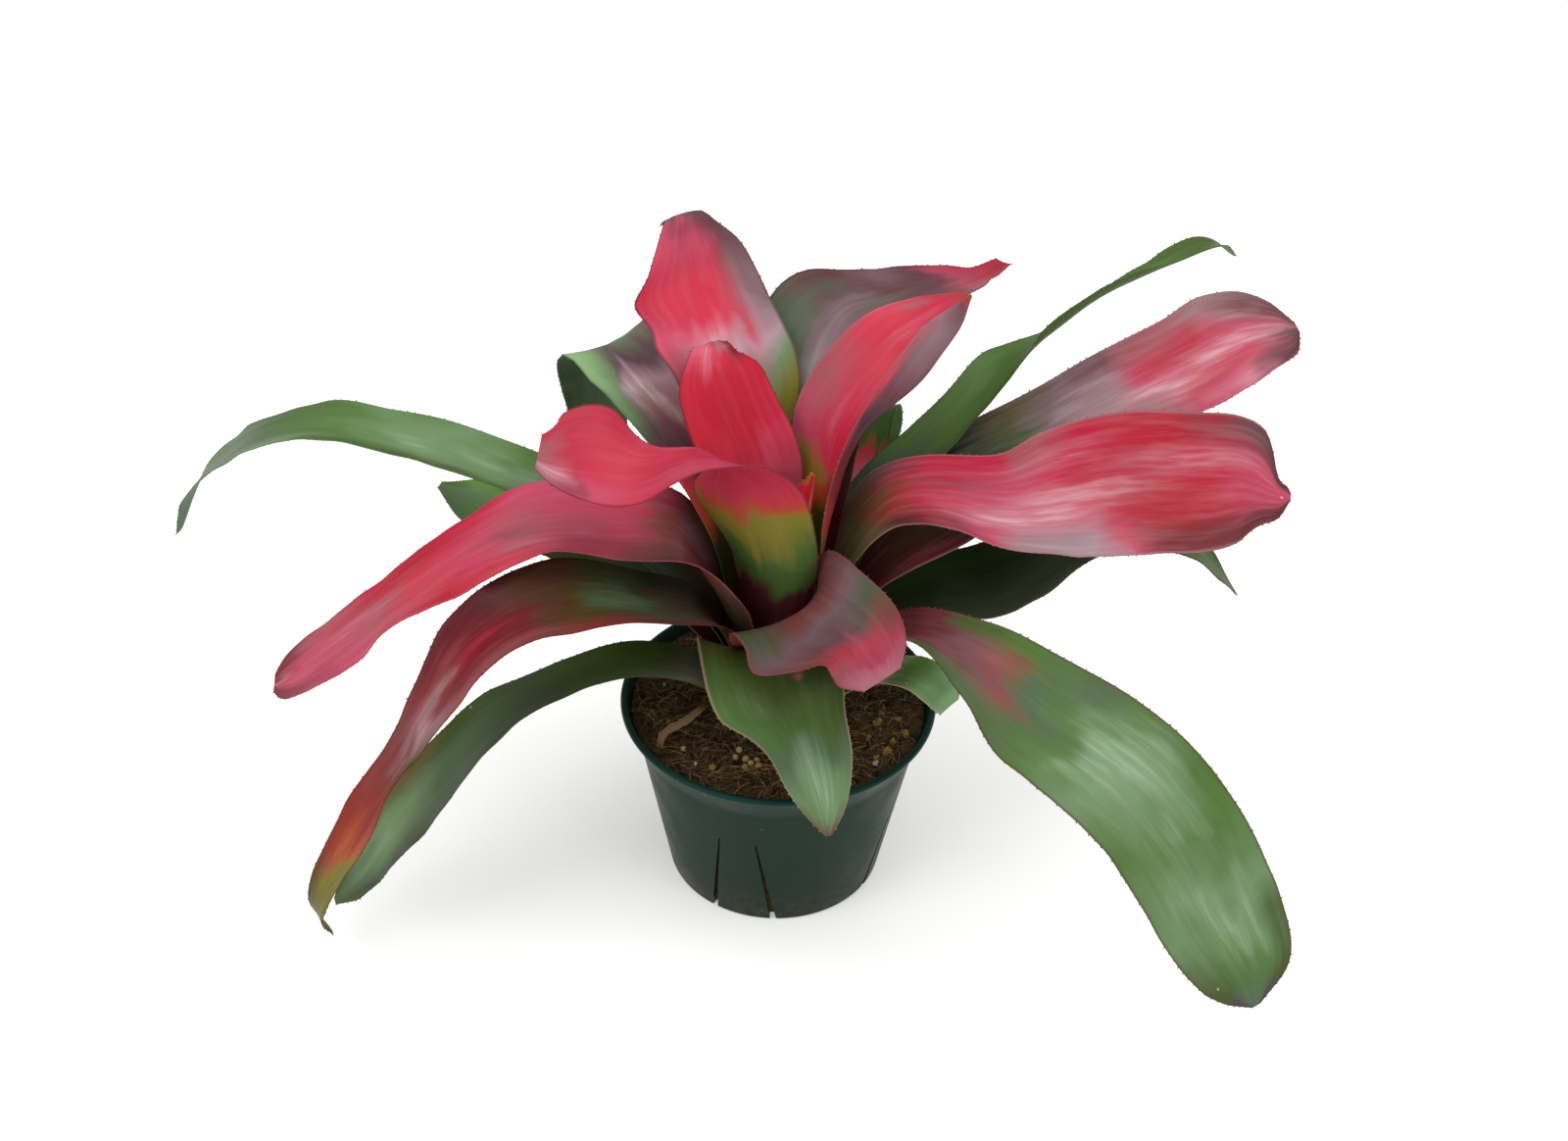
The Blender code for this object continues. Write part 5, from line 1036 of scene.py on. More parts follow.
def leafMaterial(name, look, b):
    material, tree, shader = newMaterial(name)
    spot = addNode(tree, "ShaderNodeAttribute", {"attribute_name": "leafPlace"}).outputs["Vector"]
    side = addNode(tree, "ShaderNodeAttribute", {"attribute_name": "underside"}).outputs["Fac"]
    tooth = addNode(tree, "ShaderNodeAttribute", {"attribute_name": "toothTip"}).outputs["Fac"]
    position = addNode(tree, "ShaderNodeTexCoord").outputs["Object"]
    wander = place(tree, leafWander, {**b["wander"], "Place": spot})
    across, along = wander["Across"], wander["Along"]
    streaks = place(tree, leafStreaks, {**b["streaks"], "Place": spot})
    broad, fine = streaks["Broad"], streaks["Fine"]
    veins = place(tree, leafVeins, {"Count": b["veinCount"], "Place": spot})["Height"]

    def over(share, strength, colour, second):
        return blendColour(tree, maths(tree, "MULTIPLY", share, strength), colour, second)

    # Zones of colour, patches, then the underside
    top = colourRamp(tree, look["middle"], along)
    start, end = b["zoneEdge"]
    for margin, sign in (("minus", -1), ("plus", 1)):
        if margin in look:
            zone = remap(tree, across, sign * start, sign * end)
            top = blendColour(tree, zone, top, colourRamp(tree, look[margin], along))
    streaked = maths(tree, "MULTIPLY_ADD", fine, b["patchStreak"], b["patchFloor"])
    top = addPatches(tree, top, look["patches"], across, along, streaked)
    under = colourRamp(tree, look["under"], along)
    under = addPatches(tree, under, look["underPatches"], across, along, streaked)
    colour = blendColour(tree, side, top, under)
    colour = blendColour(tree, 1.0, colour, (look["tone"],) * 3 + (1.0,), "MULTIPLY")

    # Cloudy dulling, pale and dark streaks, and veins
    clouds = place(tree, mottle, {"Scale": b["mottleScale"], "Position": position})["Mask"]
    dull = blendColour(tree, b["dullShare"], colour, b["dullColour"])
    colour = over(clouds, b["mottleShare"], colour, dull)
    lighter = blendColour(tree, b["lightShare"], colour, b["lightColour"])
    darker = blendColour(tree, b["shadeShare"], colour, b["shade"], "MULTIPLY")
    colour = over(fine, look["pale"], colour, lighter)
    colour = over(broad, look["deep"], colour, darker)
    colour = over(veins, b["veinShade"], colour, darker)

    # Margin, teeth and specks
    edge = remap(tree, maths(tree, "ABSOLUTE", axesOf(tree, spot)["X"]), *b["marginEdge"])
    colour = over(edge, look["marginStrength"], colour, paint(look["margin"]))
    colour = blendColour(tree, remap(tree, tooth, *b["toothEdge"]), colour, paint("brown"))
    specks = place(tree, paleSpecks, {**b["specks"], "Position": position})["Mask"]
    colour = over(specks, b["speckShare"], colour, paint("pinkWhite"))
    tree.links.new(colour, shader.inputs["Base Color"])

    rough = maths(tree, "MULTIPLY_ADD", broad, b["streakRough"], b["rough"])
    rough = maths(tree, "ADD", rough, maths(tree, "MULTIPLY", side, b["underRough"]))
    tree.links.new(rough, shader.inputs["Roughness"])
    shader.inputs["Specular IOR Level"].default_value = look["shine"]
    height = maths(tree, "ADD", veins, maths(tree, "MULTIPLY", fine, b["fineHeight"]))
    addBump(tree, shader, height, b["bumpStrength"], b["bumpHeight"])
    return material


print("leaves: blades and teeth")
teethTree = makeTeethTree()
for order, (name, form) in enumerate(leafForms.items()):
    surface, t, s, length = leafSurface(form, order, leafBuild["rows"], leafBuild["halfColumns"])
    surface = leafRelief(surface, t, s, length, order)
    skin = leafMaterial(name.replace("leaf_", "leafSkin"), {**plainLook, **leafLooks[name]}, leafFinish)
    points, faces, where, under = leafSolid(surface, t, s, length, order)
    toothPoints, toothFaces, toothWhere, toothTip = marginTeeth(surface, t, s, length, order, teethTree, skin)
    faces += [tuple(len(points) + k for k in face) for face in toothFaces]
    blade = newObject(name.replace("leaf_", "leafBlade"), np.concatenate([points, toothPoints]), faces)
    setPointData(blade.data, "leafPlace", "FLOAT_VECTOR", np.concatenate([where, toothWhere]))
    setPointData(blade.data, "underside", "FLOAT", np.concatenate([under, np.zeros(len(toothPoints))]))
    setPointData(blade.data, "toothTip", "FLOAT", np.concatenate([np.zeros(len(points)), toothTip]))
    finishPiece(blade, skin, 50, [name])


# Pot
potBuild = {
    "sides": 192, "height": 0.100, "rimRadius": 0.0762, "collarZ": 0.086, "collarRadius": 0.0685,
    "baseRadius": 0.0530, "wall": 0.0018, "floor": 0.0022, "slitPairs": 4, "firstPairHeading": 254,
    "slitTopZ": 0.060, "slitTopHalfTurn": 8.0, "slitFootHalfTurn": 17.5, "slitFootWidth": 0.0036,
    "slitTopWidth": 0.0006, "slitInner": 0.0455, "slitOuter": 0.070, "slitFootZ": -0.004,
}
potFinish = dict(
    dark=(0.0026, 0.0170, 0.0078, 1.0), light=(0.0046, 0.0235, 0.0118, 1.0), cloudScale=38.0,
    lip=(0.0045, 0.0360, 0.0300, 1.0), lipShare=0.8, lipEdge=(0.0945, 0.0975),
    dust=(0.085, 0.060, 0.036, 1.0), dustShare=0.35, dustScale=230.0, dustTop=0.030,
    scuff=(0.16, 0.20, 0.17, 1.0), scuffShare=0.25, scuffs={"Scale": 160.0, "Share": 0.05, "Size": 0.10},
    rough=0.34, cloudRough=0.14, shine=0.11, bumpStrength=0.18, bumpHeight=0.0002,
)


def makeTurningTree():
    # Turns a section, given as a line of points (radius, 0, height), into a closed round piece
    tree, given, out = newGroup("turnedSection", "GeometryNodeTree", {
        "Geometry": "Geometry", "Sides": 96, "Stations": 20, "Merge Gap": 0.00001, "Material": "Material"},
        {"Geometry": "Geometry"})
    grid = addNode(tree, "GeometryNodeMeshGrid", None, {
        "Size X": 1.0, "Size Y": 1.0, "Vertices X": maths(tree, "ADD", given["Sides"], 1),
        "Vertices Y": given["Stations"]})
    spot = addNode(tree, "GeometryNodeInputPosition").outputs[0]
    split = axesOf(tree, spot)
    row = maths(tree, "MULTIPLY", maths(tree, "ADD", split["Y"], 0.5),
                maths(tree, "SUBTRACT", given["Stations"], 1))
    pick = addNode(tree, "GeometryNodeSampleIndex", {"data_type": "FLOAT_VECTOR", "domain": "POINT"},
                   {"Geometry": given["Geometry"], "Value": spot, "Index": maths(tree, "ROUND", row)})
    station = axesOf(tree, pick.outputs[0])
    turn = maths(tree, "MULTIPLY", maths(tree, "ADD", split["X"], 0.5), 2 * math.pi)
    turned = fromAxes(tree, X=maths(tree, "MULTIPLY", station["X"], maths(tree, "COSINE", turn)),
                      Y=maths(tree, "MULTIPLY", station["X"], maths(tree, "SINE", turn)), Z=station["Z"])
    shaped = addNode(tree, "GeometryNodeSetPosition", None,
                     {"Geometry": grid.outputs["Mesh"], "Position": turned})
    welded = addNode(tree, "GeometryNodeMergeByDistance", None,
                     {"Geometry": shaped.outputs[0], "Distance": given["Merge Gap"]})
    return endTree(tree, welded.outputs[0], given, out)


def turnOutwards(mesh):
    # Faces of a closed piece all turned to point out
    shape = bmesh.new()
    shape.from_mesh(mesh)
    bmesh.ops.recalc_face_normals(shape, faces=shape.faces)
    shape.to_mesh(mesh)
    shape.free()


def turnedPiece(name, section, sides, tree, material):
    edges = [(k, k + 1) for k in range(len(section) - 1)]
    thing = newObject(name, [(r, 0, z) for r, z in section], [], edges)
    growMesh(thing, tree, {"Sides": sides, "Stations": len(section), "Material": material})
    turnOutwards(thing.data)
    return thing


def arc(middle, radius, start, end, steps):
    turns = np.radians(np.linspace(start, end, steps))
    return [(middle[0] + radius * math.cos(a), middle[1] + radius * math.sin(a)) for a in turns]


def potSection(b):
    # From the middle of the foot out, up the wall, over the rim and down inside to the floor
    top, rim, wall = b["height"], b["rimRadius"], b["wall"]
    base, collar, collarZ = b["baseRadius"], b["collarRadius"], b["collarZ"]
    section = [(0.0, 0.0008), (base - 0.006, 0.0008), (base - 0.0045, 0.0)]
    section += arc((base - 0.0022, 0.0022), 0.0022, -90, -8, 7)
    section += [(base + (collar - base) * q, 0.002 + (collarZ - 0.003) * q) for q in np.linspace(0.03, 1, 26)]
    section += [(collar + 0.0004, collarZ - 0.0004), (collar + 0.0016, collarZ + 0.0006)]
    section += [(collar + 0.0020, collarZ + 0.0016)]
    section += [(collar + 0.0020 + (rim - 0.0016 - collar - 0.0020) * q, collarZ + 0.0018 + 0.0087 * q)
                for q in np.linspace(0.1, 1, 5)]
    section += arc((rim - 0.0017, top - 0.0017), 0.0017, -60, 140, 13)
    section += [(rim - 0.0034, top - 0.0014), (collar + 0.0022 - wall, collarZ + 0.0020)]
    section += [(collar + 0.0014 - wall, collarZ + 0.0004), (collar - wall, collarZ - 0.0010)]
    section += [(base + 0.0006 - wall, b["floor"] + 0.0012), (base - 0.0010 - wall, b["floor"])]
    return section + [(0.0, b["floor"])]


def slitCutter(b, heading, lean):
    # A wedge through the wall, wide at the foot and narrow at the top, with its sides a little bowed
    points, faces = [], []
    steps = 10
    inner, outer = b["slitInner"], b["slitOuter"]
    for k in range(steps + 1):
        q = k / steps
        height = b["slitFootZ"] + (b["slitTopZ"] - b["slitFootZ"]) * q
        halfTurn = b["slitFootHalfTurn"] + (b["slitTopHalfTurn"] - b["slitFootHalfTurn"]) * (q ** 0.85)
        width = b["slitFootWidth"] + (b["slitTopWidth"] - b["slitFootWidth"]) * (q ** 0.7)
        middle = math.radians(heading + lean * halfTurn)
        for radius, side in ((inner, -0.5), (outer, -0.5), (outer, 0.5), (inner, 0.5)):
            points.append((radius * math.cos(middle) - side * width * math.sin(middle),
                           radius * math.sin(middle) + side * width * math.cos(middle), height))
    for k in range(steps):
        for c in range(4):
            a, d = 4 * k + c, 4 * k + (c + 1) % 4
            faces.append((a, d, d + 4, a + 4))
    faces += [(3, 2, 1, 0), (4 * steps, 4 * steps + 1, 4 * steps + 2, 4 * steps + 3)]
    return newObject("slitCutter", points, faces)


def potMaterial(b):
    material, tree, shader = newMaterial("potPlastic")
    position = addNode(tree, "ShaderNodeTexCoord").outputs["Object"]
    height = axesOf(tree, position)["Z"]
    cloud = place(tree, mottle, {"Scale": b["cloudScale"], "Position": position})["Mask"]
    dust = place(tree, mottle, {"Scale": b["dustScale"], "Position": position})["Mask"]
    scuffs = place(tree, paleSpecks, {**b["scuffs"], "Position": position})["Mask"]
    lip = remap(tree, height, *b["lipEdge"])
    dustyFoot = maths(tree, "MULTIPLY", remap(tree, height, b["dustTop"], 0.0), dust)
    colour = blendColour(tree, cloud, b["dark"], b["light"])
    for mask, share, second in ((lip, b["lipShare"], b["lip"]), (dustyFoot, b["dustShare"], b["dust"]),
                                (scuffs, b["scuffShare"], b["scuff"])):
        colour = blendColour(tree, maths(tree, "MULTIPLY", mask, share), colour, second)
    tree.links.new(colour, shader.inputs["Base Color"])
    rough = maths(tree, "MULTIPLY_ADD", cloud, b["cloudRough"], b["rough"])
    tree.links.new(rough, shader.inputs["Roughness"])
    shader.inputs["Specular IOR Level"].default_value = b["shine"]
    addBump(tree, shader, dust, b["bumpStrength"], b["bumpHeight"])
    return material


print("pot: turned section with slits")
turningTree = makeTurningTree()
plastic = potMaterial(potFinish)
pot = turnedPiece("pottedShell", potSection(potBuild), potBuild["sides"], turningTree, plastic)
cutters = []
for pair in range(potBuild["slitPairs"]):
    for lean in (-1, 1):
        heading = potBuild["firstPairHeading"] + pair * 360 / potBuild["slitPairs"]
        cutters.append(slitCutter(potBuild, heading, lean))
        cut = pot.modifiers.new("slit", "BOOLEAN")
        cut.operation = "DIFFERENCE"
        cut.solver = "EXACT"
        cut.object = cutters[-1]
deps = bpy.context.evaluated_depsgraph_get()
pot.data = bpy.data.meshes.new_from_object(pot.evaluated_get(deps), depsgraph=deps)
pot.modifiers.clear()
for cutter in cutters:
    bpy.data.objects.remove(cutter, do_unlink=True)
finishPiece(pot, plastic, 32, ["pot"])


# Potting mix
mixBuild = dict(topZ=0.0900, rise=0.0045, topRadius=0.0708, collarZ=0.0872, collarRadius=0.0680,
                throatZ=0.0858, throatRadius=0.0662, lowRadius=0.0508, lowZ=0.0035, holeRadius=0.0140,
                holeFloorZ=0.0600, rings=68, sectors=232, strewnZ=0.0880, dishRadius=0.028,
                dishEndRadius=0.0710, lumps=0.0011, ripples=0.0007, edgeWidth=0.006, edgeShare=0.35,
                rough=0.0011, crumbScale=210)
mixSkins = {  # dark, light, fleck, roughness and pattern scale
    "peatMix": ((0.010, 0.0055, 0.0026, 1), (0.100, 0.055, 0.022, 1), (0.20, 0.13, 0.06, 1), 0.95, 260.0),
    "barkBits": ((0.020, 0.011, 0.005, 1), (0.210, 0.115, 0.044, 1), (0.26, 0.17, 0.07, 1), 0.9, 420.0),
    "mossFibre": ((0.22, 0.135, 0.048, 1), (0.58, 0.41, 0.175, 1), (0.55, 0.44, 0.23, 1), 0.85, 300.0),
    "beadSkin": ((0.50, 0.32, 0.14, 1), (0.68, 0.48, 0.24, 1), (0.75, 0.60, 0.38, 1), 0.55, 500.0),
    "clumpSkin": ((0.30, 0.17, 0.035, 1), (0.52, 0.34, 0.09, 1), (0.60, 0.45, 0.20, 1), 0.9, 600.0),
    "perliteSkin": ((0.55, 0.52, 0.46, 1), (0.80, 0.78, 0.72, 1), (0.85, 0.84, 0.80, 1), 0.9, 600.0),
}
crumbFinish = dict(grainRatio=4.3, fleckRatio=2.6, flecks={"Share": 0.16, "Size": 0.24}, fleckShare=0.6,
                   polish=0.12, shine=0.25, bumpStrength=0.6, bumpHeight=0.0006)
strewnSizes = {2: 0.45, 3: 1.35}  # least and most
strewnBuild = {  # what lies on the mix, with its skin
    "mixCrumbs": ("barkBits", {
        "Number": 130000.0, "Length": 0.0026, "Width": 0.0015, "Bend": 0.1, "Tilt": 0.7, "Lift": 0.0001,
        "Steps": 3, "Sides": 5, "Taper": 0.75, "Seed": 3}),
    "mixChips": ("barkBits", {
        "Number": 20000.0, "Length": 0.0072, "Width": 0.0025, "Bend": 0.12, "Tilt": 0.35, "Lift": 0.0003,
        "Steps": 3, "Sides": 4, "Taper": 0.55, "Seed": 11}),
    "mixFibres": ("mossFibre", {
        "Number": 40000.0, "Length": 0.0110, "Width": 0.00066, "Bend": 0.35, "Tilt": 0.28, "Lift": 0.0008,
        "Steps": 6, "Sides": 3, "Taper": 0.7, "Seed": 21}),
    "mixStrands": ("mossFibre", {
        "Number": 15000.0, "Length": 0.0185, "Width": 0.00075, "Bend": -0.28, "Tilt": 0.16, "Lift": 0.0012,
        "Steps": 7, "Sides": 3, "Taper": 0.75, "Outer Radius": 0.061, "Seed": 34}),
}
beadShape = dict(rows=8, sectors=12, raised=0.45, bumps=1.9)
beadBuild = {  # skin, size and lumpiness, then spots as (x, y, size share), all in millimetres
    "mixBeads": ("beadSkin", 3.3, 0.10, [
        (-17.9, -31.4, 1.0), (-14.5, -37.5, 1.05), (-12, -41.5, 0.95), (-8.3, -43.4, 1.05),
        (-14.8, -43.7, 0.9), (-19.5, -36.2, 0.95), (-9.2, -38.2, 0.9), (34, -48, 0.9), (-44, -34, 0.9),
        (22, 46, 1.0), (-28, 41, 0.95)]),
    "mixClumps": ("clumpSkin", 3.6, 0.9, [
        (48, -10, 1.2), (61, -20, 1.0), (52, -34, 1.3), (50, -4, 0.8), (55, -26, 0.8), (44, -22, 0.9),
        (58, -8, 0.7), (47, -38, 0.8), (-52, -14, 0.7), (-30, -46, 0.8), (0, 52, 1.0), (-48, 30, 0.9)]),
    "mixPerlite": ("perliteSkin", 2.6, 1.1, [
        (46.6, -41.8, 1.0), (-38, -45, 0.6), (20, -56, 0.7), (40, 35, 0.9), (-20, 55, 0.7), (-56, 12, 0.6)]),
}


def mixTop(x, y):
    # The dish and the lumps of the solid's top, with crumbs on them
    b = mixBuild
    radius = math.hypot(x, y)
    q = min(1.0, max(0.0, (radius - b["dishRadius"]) / (b["dishEndRadius"] - b["dishRadius"])))
    lumps = b["lumps"] * math.sin(95 * x + 1.3) * math.sin(88 * y + 0.4)
    lumps += b["ripples"] * math.sin(240 * x - 1.1 * math.sin(150 * y)) * math.sin(215 * y + 0.8)
    inside = min(1.0, max(0.0, (b["topRadius"] - radius) / b["edgeWidth"]))
    edge = b["edgeShare"] + (1 - b["edgeShare"]) * inside
    crumbs = noise.fractal(Vector((x * b["crumbScale"], y * b["crumbScale"], 3.7)), 0.9, 2.1, 4)
    dish = b["rise"] * q * q * (3 - 2 * q)
    return b["topZ"] + dish + (lumps + b["rough"] * crumbs) * edge


def mixBed(b):
    # Rings of points from the foot of the mix up its side, in over its top and down its hole
    points, faces, rings = [], [], []
    section = [(b[part + "Radius"], b[part + "Z"]) for part in ("low", "throat", "collar")]
    section += [(b["topRadius"] - (b["topRadius"] - b["holeRadius"]) * k / b["rings"], None)
                for k in range(b["rings"] + 1)]
    for radius, height in section + [(b["holeRadius"], b["holeFloorZ"])]:
        rings.append(len(points))
        for k in range(b["sectors"]):
            turn = 2 * math.pi * k / b["sectors"]
            x, y = radius * math.cos(turn), radius * math.sin(turn)
            points.append((x, y, mixTop(x, y) if height is None else height))
    for low, high in zip(rings, rings[1:]):
        for k in range(b["sectors"]):
            after = (k + 1) % b["sectors"]
            faces.append((low + k, low + after, high + after, high + k))
    faces.append(tuple(reversed(range(b["sectors"]))))
    faces.append(tuple(range(rings[-1], rings[-1] + b["sectors"])))
    return newObject("mixBed", points, faces)


def crumbMaterial(name, dark, light, fleck, roughness, scale):
    b = crumbFinish
    material, tree, shader = newMaterial(name)
    position = addNode(tree, "ShaderNodeTexCoord").outputs["Object"]
    cloud = place(tree, mottle, {"Scale": scale, "Position": position})["Mask"]
    grain = place(tree, mottle, {"Scale": scale * b["grainRatio"], "Position": position})["Mask"]
    flecks = place(tree, paleSpecks, {**b["flecks"], "Scale": scale * b["fleckRatio"], "Position": position})
    colour = blendColour(tree, cloud, dark, light)
    colour = blendColour(tree, maths(tree, "MULTIPLY", flecks["Mask"], b["fleckShare"]), colour, fleck)
    tree.links.new(colour, shader.inputs["Base Color"])
    rough = remap(tree, grain, 0.0, 1.0, roughness, roughness - b["polish"], False)
    tree.links.new(rough, shader.inputs["Roughness"])
    shader.inputs["Specular IOR Level"].default_value = b["shine"]
    addBump(tree, shader, grain, b["bumpStrength"], b["bumpHeight"])
    return material


def makeScatterTree():
    # Strews small crumbs or fibres over the top of the mix, pressed a little into it
    tree, given, out = newGroup("strewnMix", "GeometryNodeTree", {
        "Geometry": "Geometry", "Number": 30000.0, "Inner Radius": 0.016, "Outer Radius": 0.0685,
        "Length": 0.004, "Width": 0.001, "Bend": 0.3, "Tilt": 0.4, "Lift": 0.0, "Steps": 5, "Sides": 4,
        "Taper": 0.7, "Seed": 1, "Material": "Material"}, {"Geometry": "Geometry"})
    split = axesOf(tree, addNode(tree, "GeometryNodeInputPosition").outputs[0])
    radius = maths(tree, "SQRT", maths(tree, "ADD", maths(tree, "MULTIPLY", split["X"], split["X"]),
                                       maths(tree, "MULTIPLY", split["Y"], split["Y"])))
    inside = maths(tree, "MULTIPLY", maths(tree, "GREATER_THAN", radius, given["Inner Radius"]),
                   maths(tree, "LESS_THAN", radius, given["Outer Radius"]))
    top = maths(tree, "MULTIPLY", inside, maths(tree, "GREATER_THAN", split["Z"], mixBuild["strewnZ"]))
    spread = addNode(tree, "GeometryNodeDistributePointsOnFaces", None, {
        "Mesh": given["Geometry"], "Selection": top, "Density": given["Number"], "Seed": given["Seed"]})

    # One crumb or fibre, 1 long, bowed and thinner at both ends
    bow = addNode(tree, "GeometryNodeCurvePrimitiveBezierSegment", None, {
        "Start": (-0.5, 0, 0), "End": (0.5, 0, 0), "Resolution": given["Steps"],
        "Start Handle": fromAxes(tree, X=-0.17, Y=given["Bend"]),
        "End Handle": fromAxes(tree, X=0.20, Z=maths(tree, "MULTIPLY", given["Bend"], 0.5))})
    share = addNode(tree, "GeometryNodeSplineParameter").outputs["Factor"]
    away = maths(tree, "ABSOLUTE", maths(tree, "MULTIPLY_ADD", share, 2.0, -1.0))
    taper = maths(tree, "MULTIPLY", maths(tree, "POWER", away, 2.0), given["Taper"])
    thin = maths(tree, "SUBTRACT", 1.0, taper)
    ratio = maths(tree, "DIVIDE", given["Width"], given["Length"])
    ring = addNode(tree, "GeometryNodeCurvePrimitiveCircle", None,
                   {"Resolution": given["Sides"], "Radius": maths(tree, "MULTIPLY", ratio, 0.5)})
    thick = addNode(tree, "GeometryNodeSetCurveRadius", None, {"Curve": bow.outputs[0], "Radius": thin})
    body = addNode(tree, "GeometryNodeCurveToMesh", None, {
        "Curve": thick.outputs[0], "Profile Curve": ring.outputs[0], "Scale": thin, "Fill Caps": True})

    back = maths(tree, "MULTIPLY", given["Tilt"], -1.0)
    aim = addNode(tree, "FunctionNodeRandomValue", {"data_type": "FLOAT_VECTOR"}, {
        0: fromAxes(tree, X=back, Y=back), 1: fromAxes(tree, X=given["Tilt"], Y=given["Tilt"], Z=2 * math.pi),
        "Seed": given["Seed"]})
    size = addNode(tree, "FunctionNodeRandomValue", {"data_type": "FLOAT"},
                   {**strewnSizes, "Seed": maths(tree, "ADD", given["Seed"], 5)})
    raised = addNode(tree, "GeometryNodeSetPosition", None,
                     {"Geometry": spread.outputs["Points"], "Offset": fromAxes(tree, Z=given["Lift"])})
    stand = addNode(tree, "GeometryNodeInstanceOnPoints", None, {
        "Points": raised.outputs[0], "Instance": body.outputs[0], "Rotation": aim.outputs[0],
        "Scale": maths(tree, "MULTIPLY", size.outputs[1], given["Length"])})
    return endTree(tree, stand.outputs[0], given, out)


def addStrewn(name, bed, tree, values, skin):
    thing = bpy.data.objects.new(name, bed.data.copy())
    bpy.context.scene.collection.objects.link(thing)
    growMesh(thing, tree, {**values, "Material": skin})
    finishPiece(thing, skin, 60)


def addBeads(name, spots, size, lumpiness, skin):
    # Round beads or soft clumps half sunk in the mix
    rows, sectors = beadShape["rows"], beadShape["sectors"]
    points, faces = [], []
    for number, (x, y, share) in enumerate(spots):
        radius = size * mm / 2 * share
        middle = Vector((x * mm, y * mm, mixTop(x * mm, y * mm) + radius * beadShape["raised"]))
        rings = []
        for row in range(rows + 1):
            rise = math.pi * row / rows
            count = sectors if 0 < row < rows else 1
            rings.append([len(points) + k % count for k in range(sectors + 1)])
            for k in range(count):
                turn = 2 * math.pi * k / sectors
                way = Vector((math.sin(rise) * math.cos(turn), math.sin(rise) * math.sin(turn),
                              math.cos(rise)))
                bumps = noise.noise(way * beadShape["bumps"] + Vector((number * 3.1, 0, 0)))
                bulge = 1 + lumpiness * bumps
                points.append(tuple(middle + way * radius * bulge))
        for upper, lower in zip(rings, rings[1:]):
            for k in range(sectors):
                faces.append(tuple(dict.fromkeys((upper[k], lower[k], lower[k + 1], upper[k + 1]))))
    finishPiece(newObject(name, points, faces), skin, 60)


print("mix: bed, crumbs, fibres and beads")
skins = {name: crumbMaterial(name, *values) for name, values in mixSkins.items()}
bed = mixBed(mixBuild)
scatterTree = makeScatterTree()
for name, (skin, values) in strewnBuild.items():
    addStrewn(name, bed, scatterTree, values, skins[skin])
finishPiece(bed, skins["peatMix"], 80, ["potting_mix"])
for name, (skin, size, lumpiness, spots) in beadBuild.items():
    addBeads(name, spots, size, lumpiness, skins[skin])


# Stem
stemBuild = dict(holeRadius=0.0137, footZ=0.0603, mixZ=0.0922, coneFootZ=0.0954, topZ=0.139, rings=11,
                 leafGap=0.3, chordRoom=0.90, scarDepth=0.00035)
stemPaint = ((0.045, 0.026, 0.012, 1), (0.15, 0.10, 0.045, 1), (0.20, 0.18, 0.08, 1), 0.85, 180.0)


def stemSection(b):
    # Straight below, then a cone just inside the feet of the leaves, ringed with their scars
    inset = (leafBuild["thickness"] / 2 + b["leafGap"]) * mm
    inner = leafBuild["firstFootOut"] * mm - inset
    footDrop = leafBuild["firstFootUp"] * mm - b["coneFootZ"]
    footStep = footDrop * leafBuild["footOutStep"] / leafBuild["footUpStep"]
    foot = (inner + footStep) * b["chordRoom"] - 0.0004
    top = inner * b["chordRoom"] - 0.0012
    section = [(0.0, b["footZ"]), (b["holeRadius"] - 0.0020, b["footZ"])]
    section += [(b["holeRadius"], b["footZ"] + 0.004), (b["holeRadius"], b["mixZ"])]
    section += [(foot - 0.003, b["coneFootZ"] - 0.002)]
    for k in range(b["rings"] * 4 + 1):
        q = k / (b["rings"] * 4)
        scar = b["scarDepth"] * (0.5 - 0.5 * math.cos(2 * math.pi * q * b["rings"]))
        section.append((foot + (top - foot) * q - scar, b["coneFootZ"] + (b["topZ"] - b["coneFootZ"]) * q))
    return section + [(top * 0.5, b["topZ"] + 0.002), (0.0, b["topZ"] + 0.002)]


print("stem and dry leaf")
stemSkin = crumbMaterial("stemSkin", *stemPaint)
stem = turnedPiece("ringedStem", stemSection(stemBuild), 64, turningTree, stemSkin)
finishPiece(stem, stemSkin, 40, ["stem"])


# Dry leaf that lies on the mix
dryBuild = dict(
    points=[(-55.0, -38.0, 97.0), (-53.5, -27.5, 96.8), (-44.0, -18.0, 96.8), (-34.0, -7.0, 98.5)],
    width=[(0, 3.0), (0.5, 4.6), (1, 2.4)], rows=40, columns=8,
    trough=0.0006, ripple=0.00012, ragged=((0.07, 31, 1.0), (0.05, 57, 0.0)),
    colours=[(0, "brown"), (0.15, "tan"), (0.5, "straw"), (0.8, "tan"), (1, "bark")],
    wander={"Feather": 0.10, "Sway": 0.2}, streaks={"Broad Count": 2.0, "Fine Count": 5.0},
    streakShare=0.6, rough=(0.62, 0.8), bumpStrength=0.5, bumpHeight=0.0003,
)


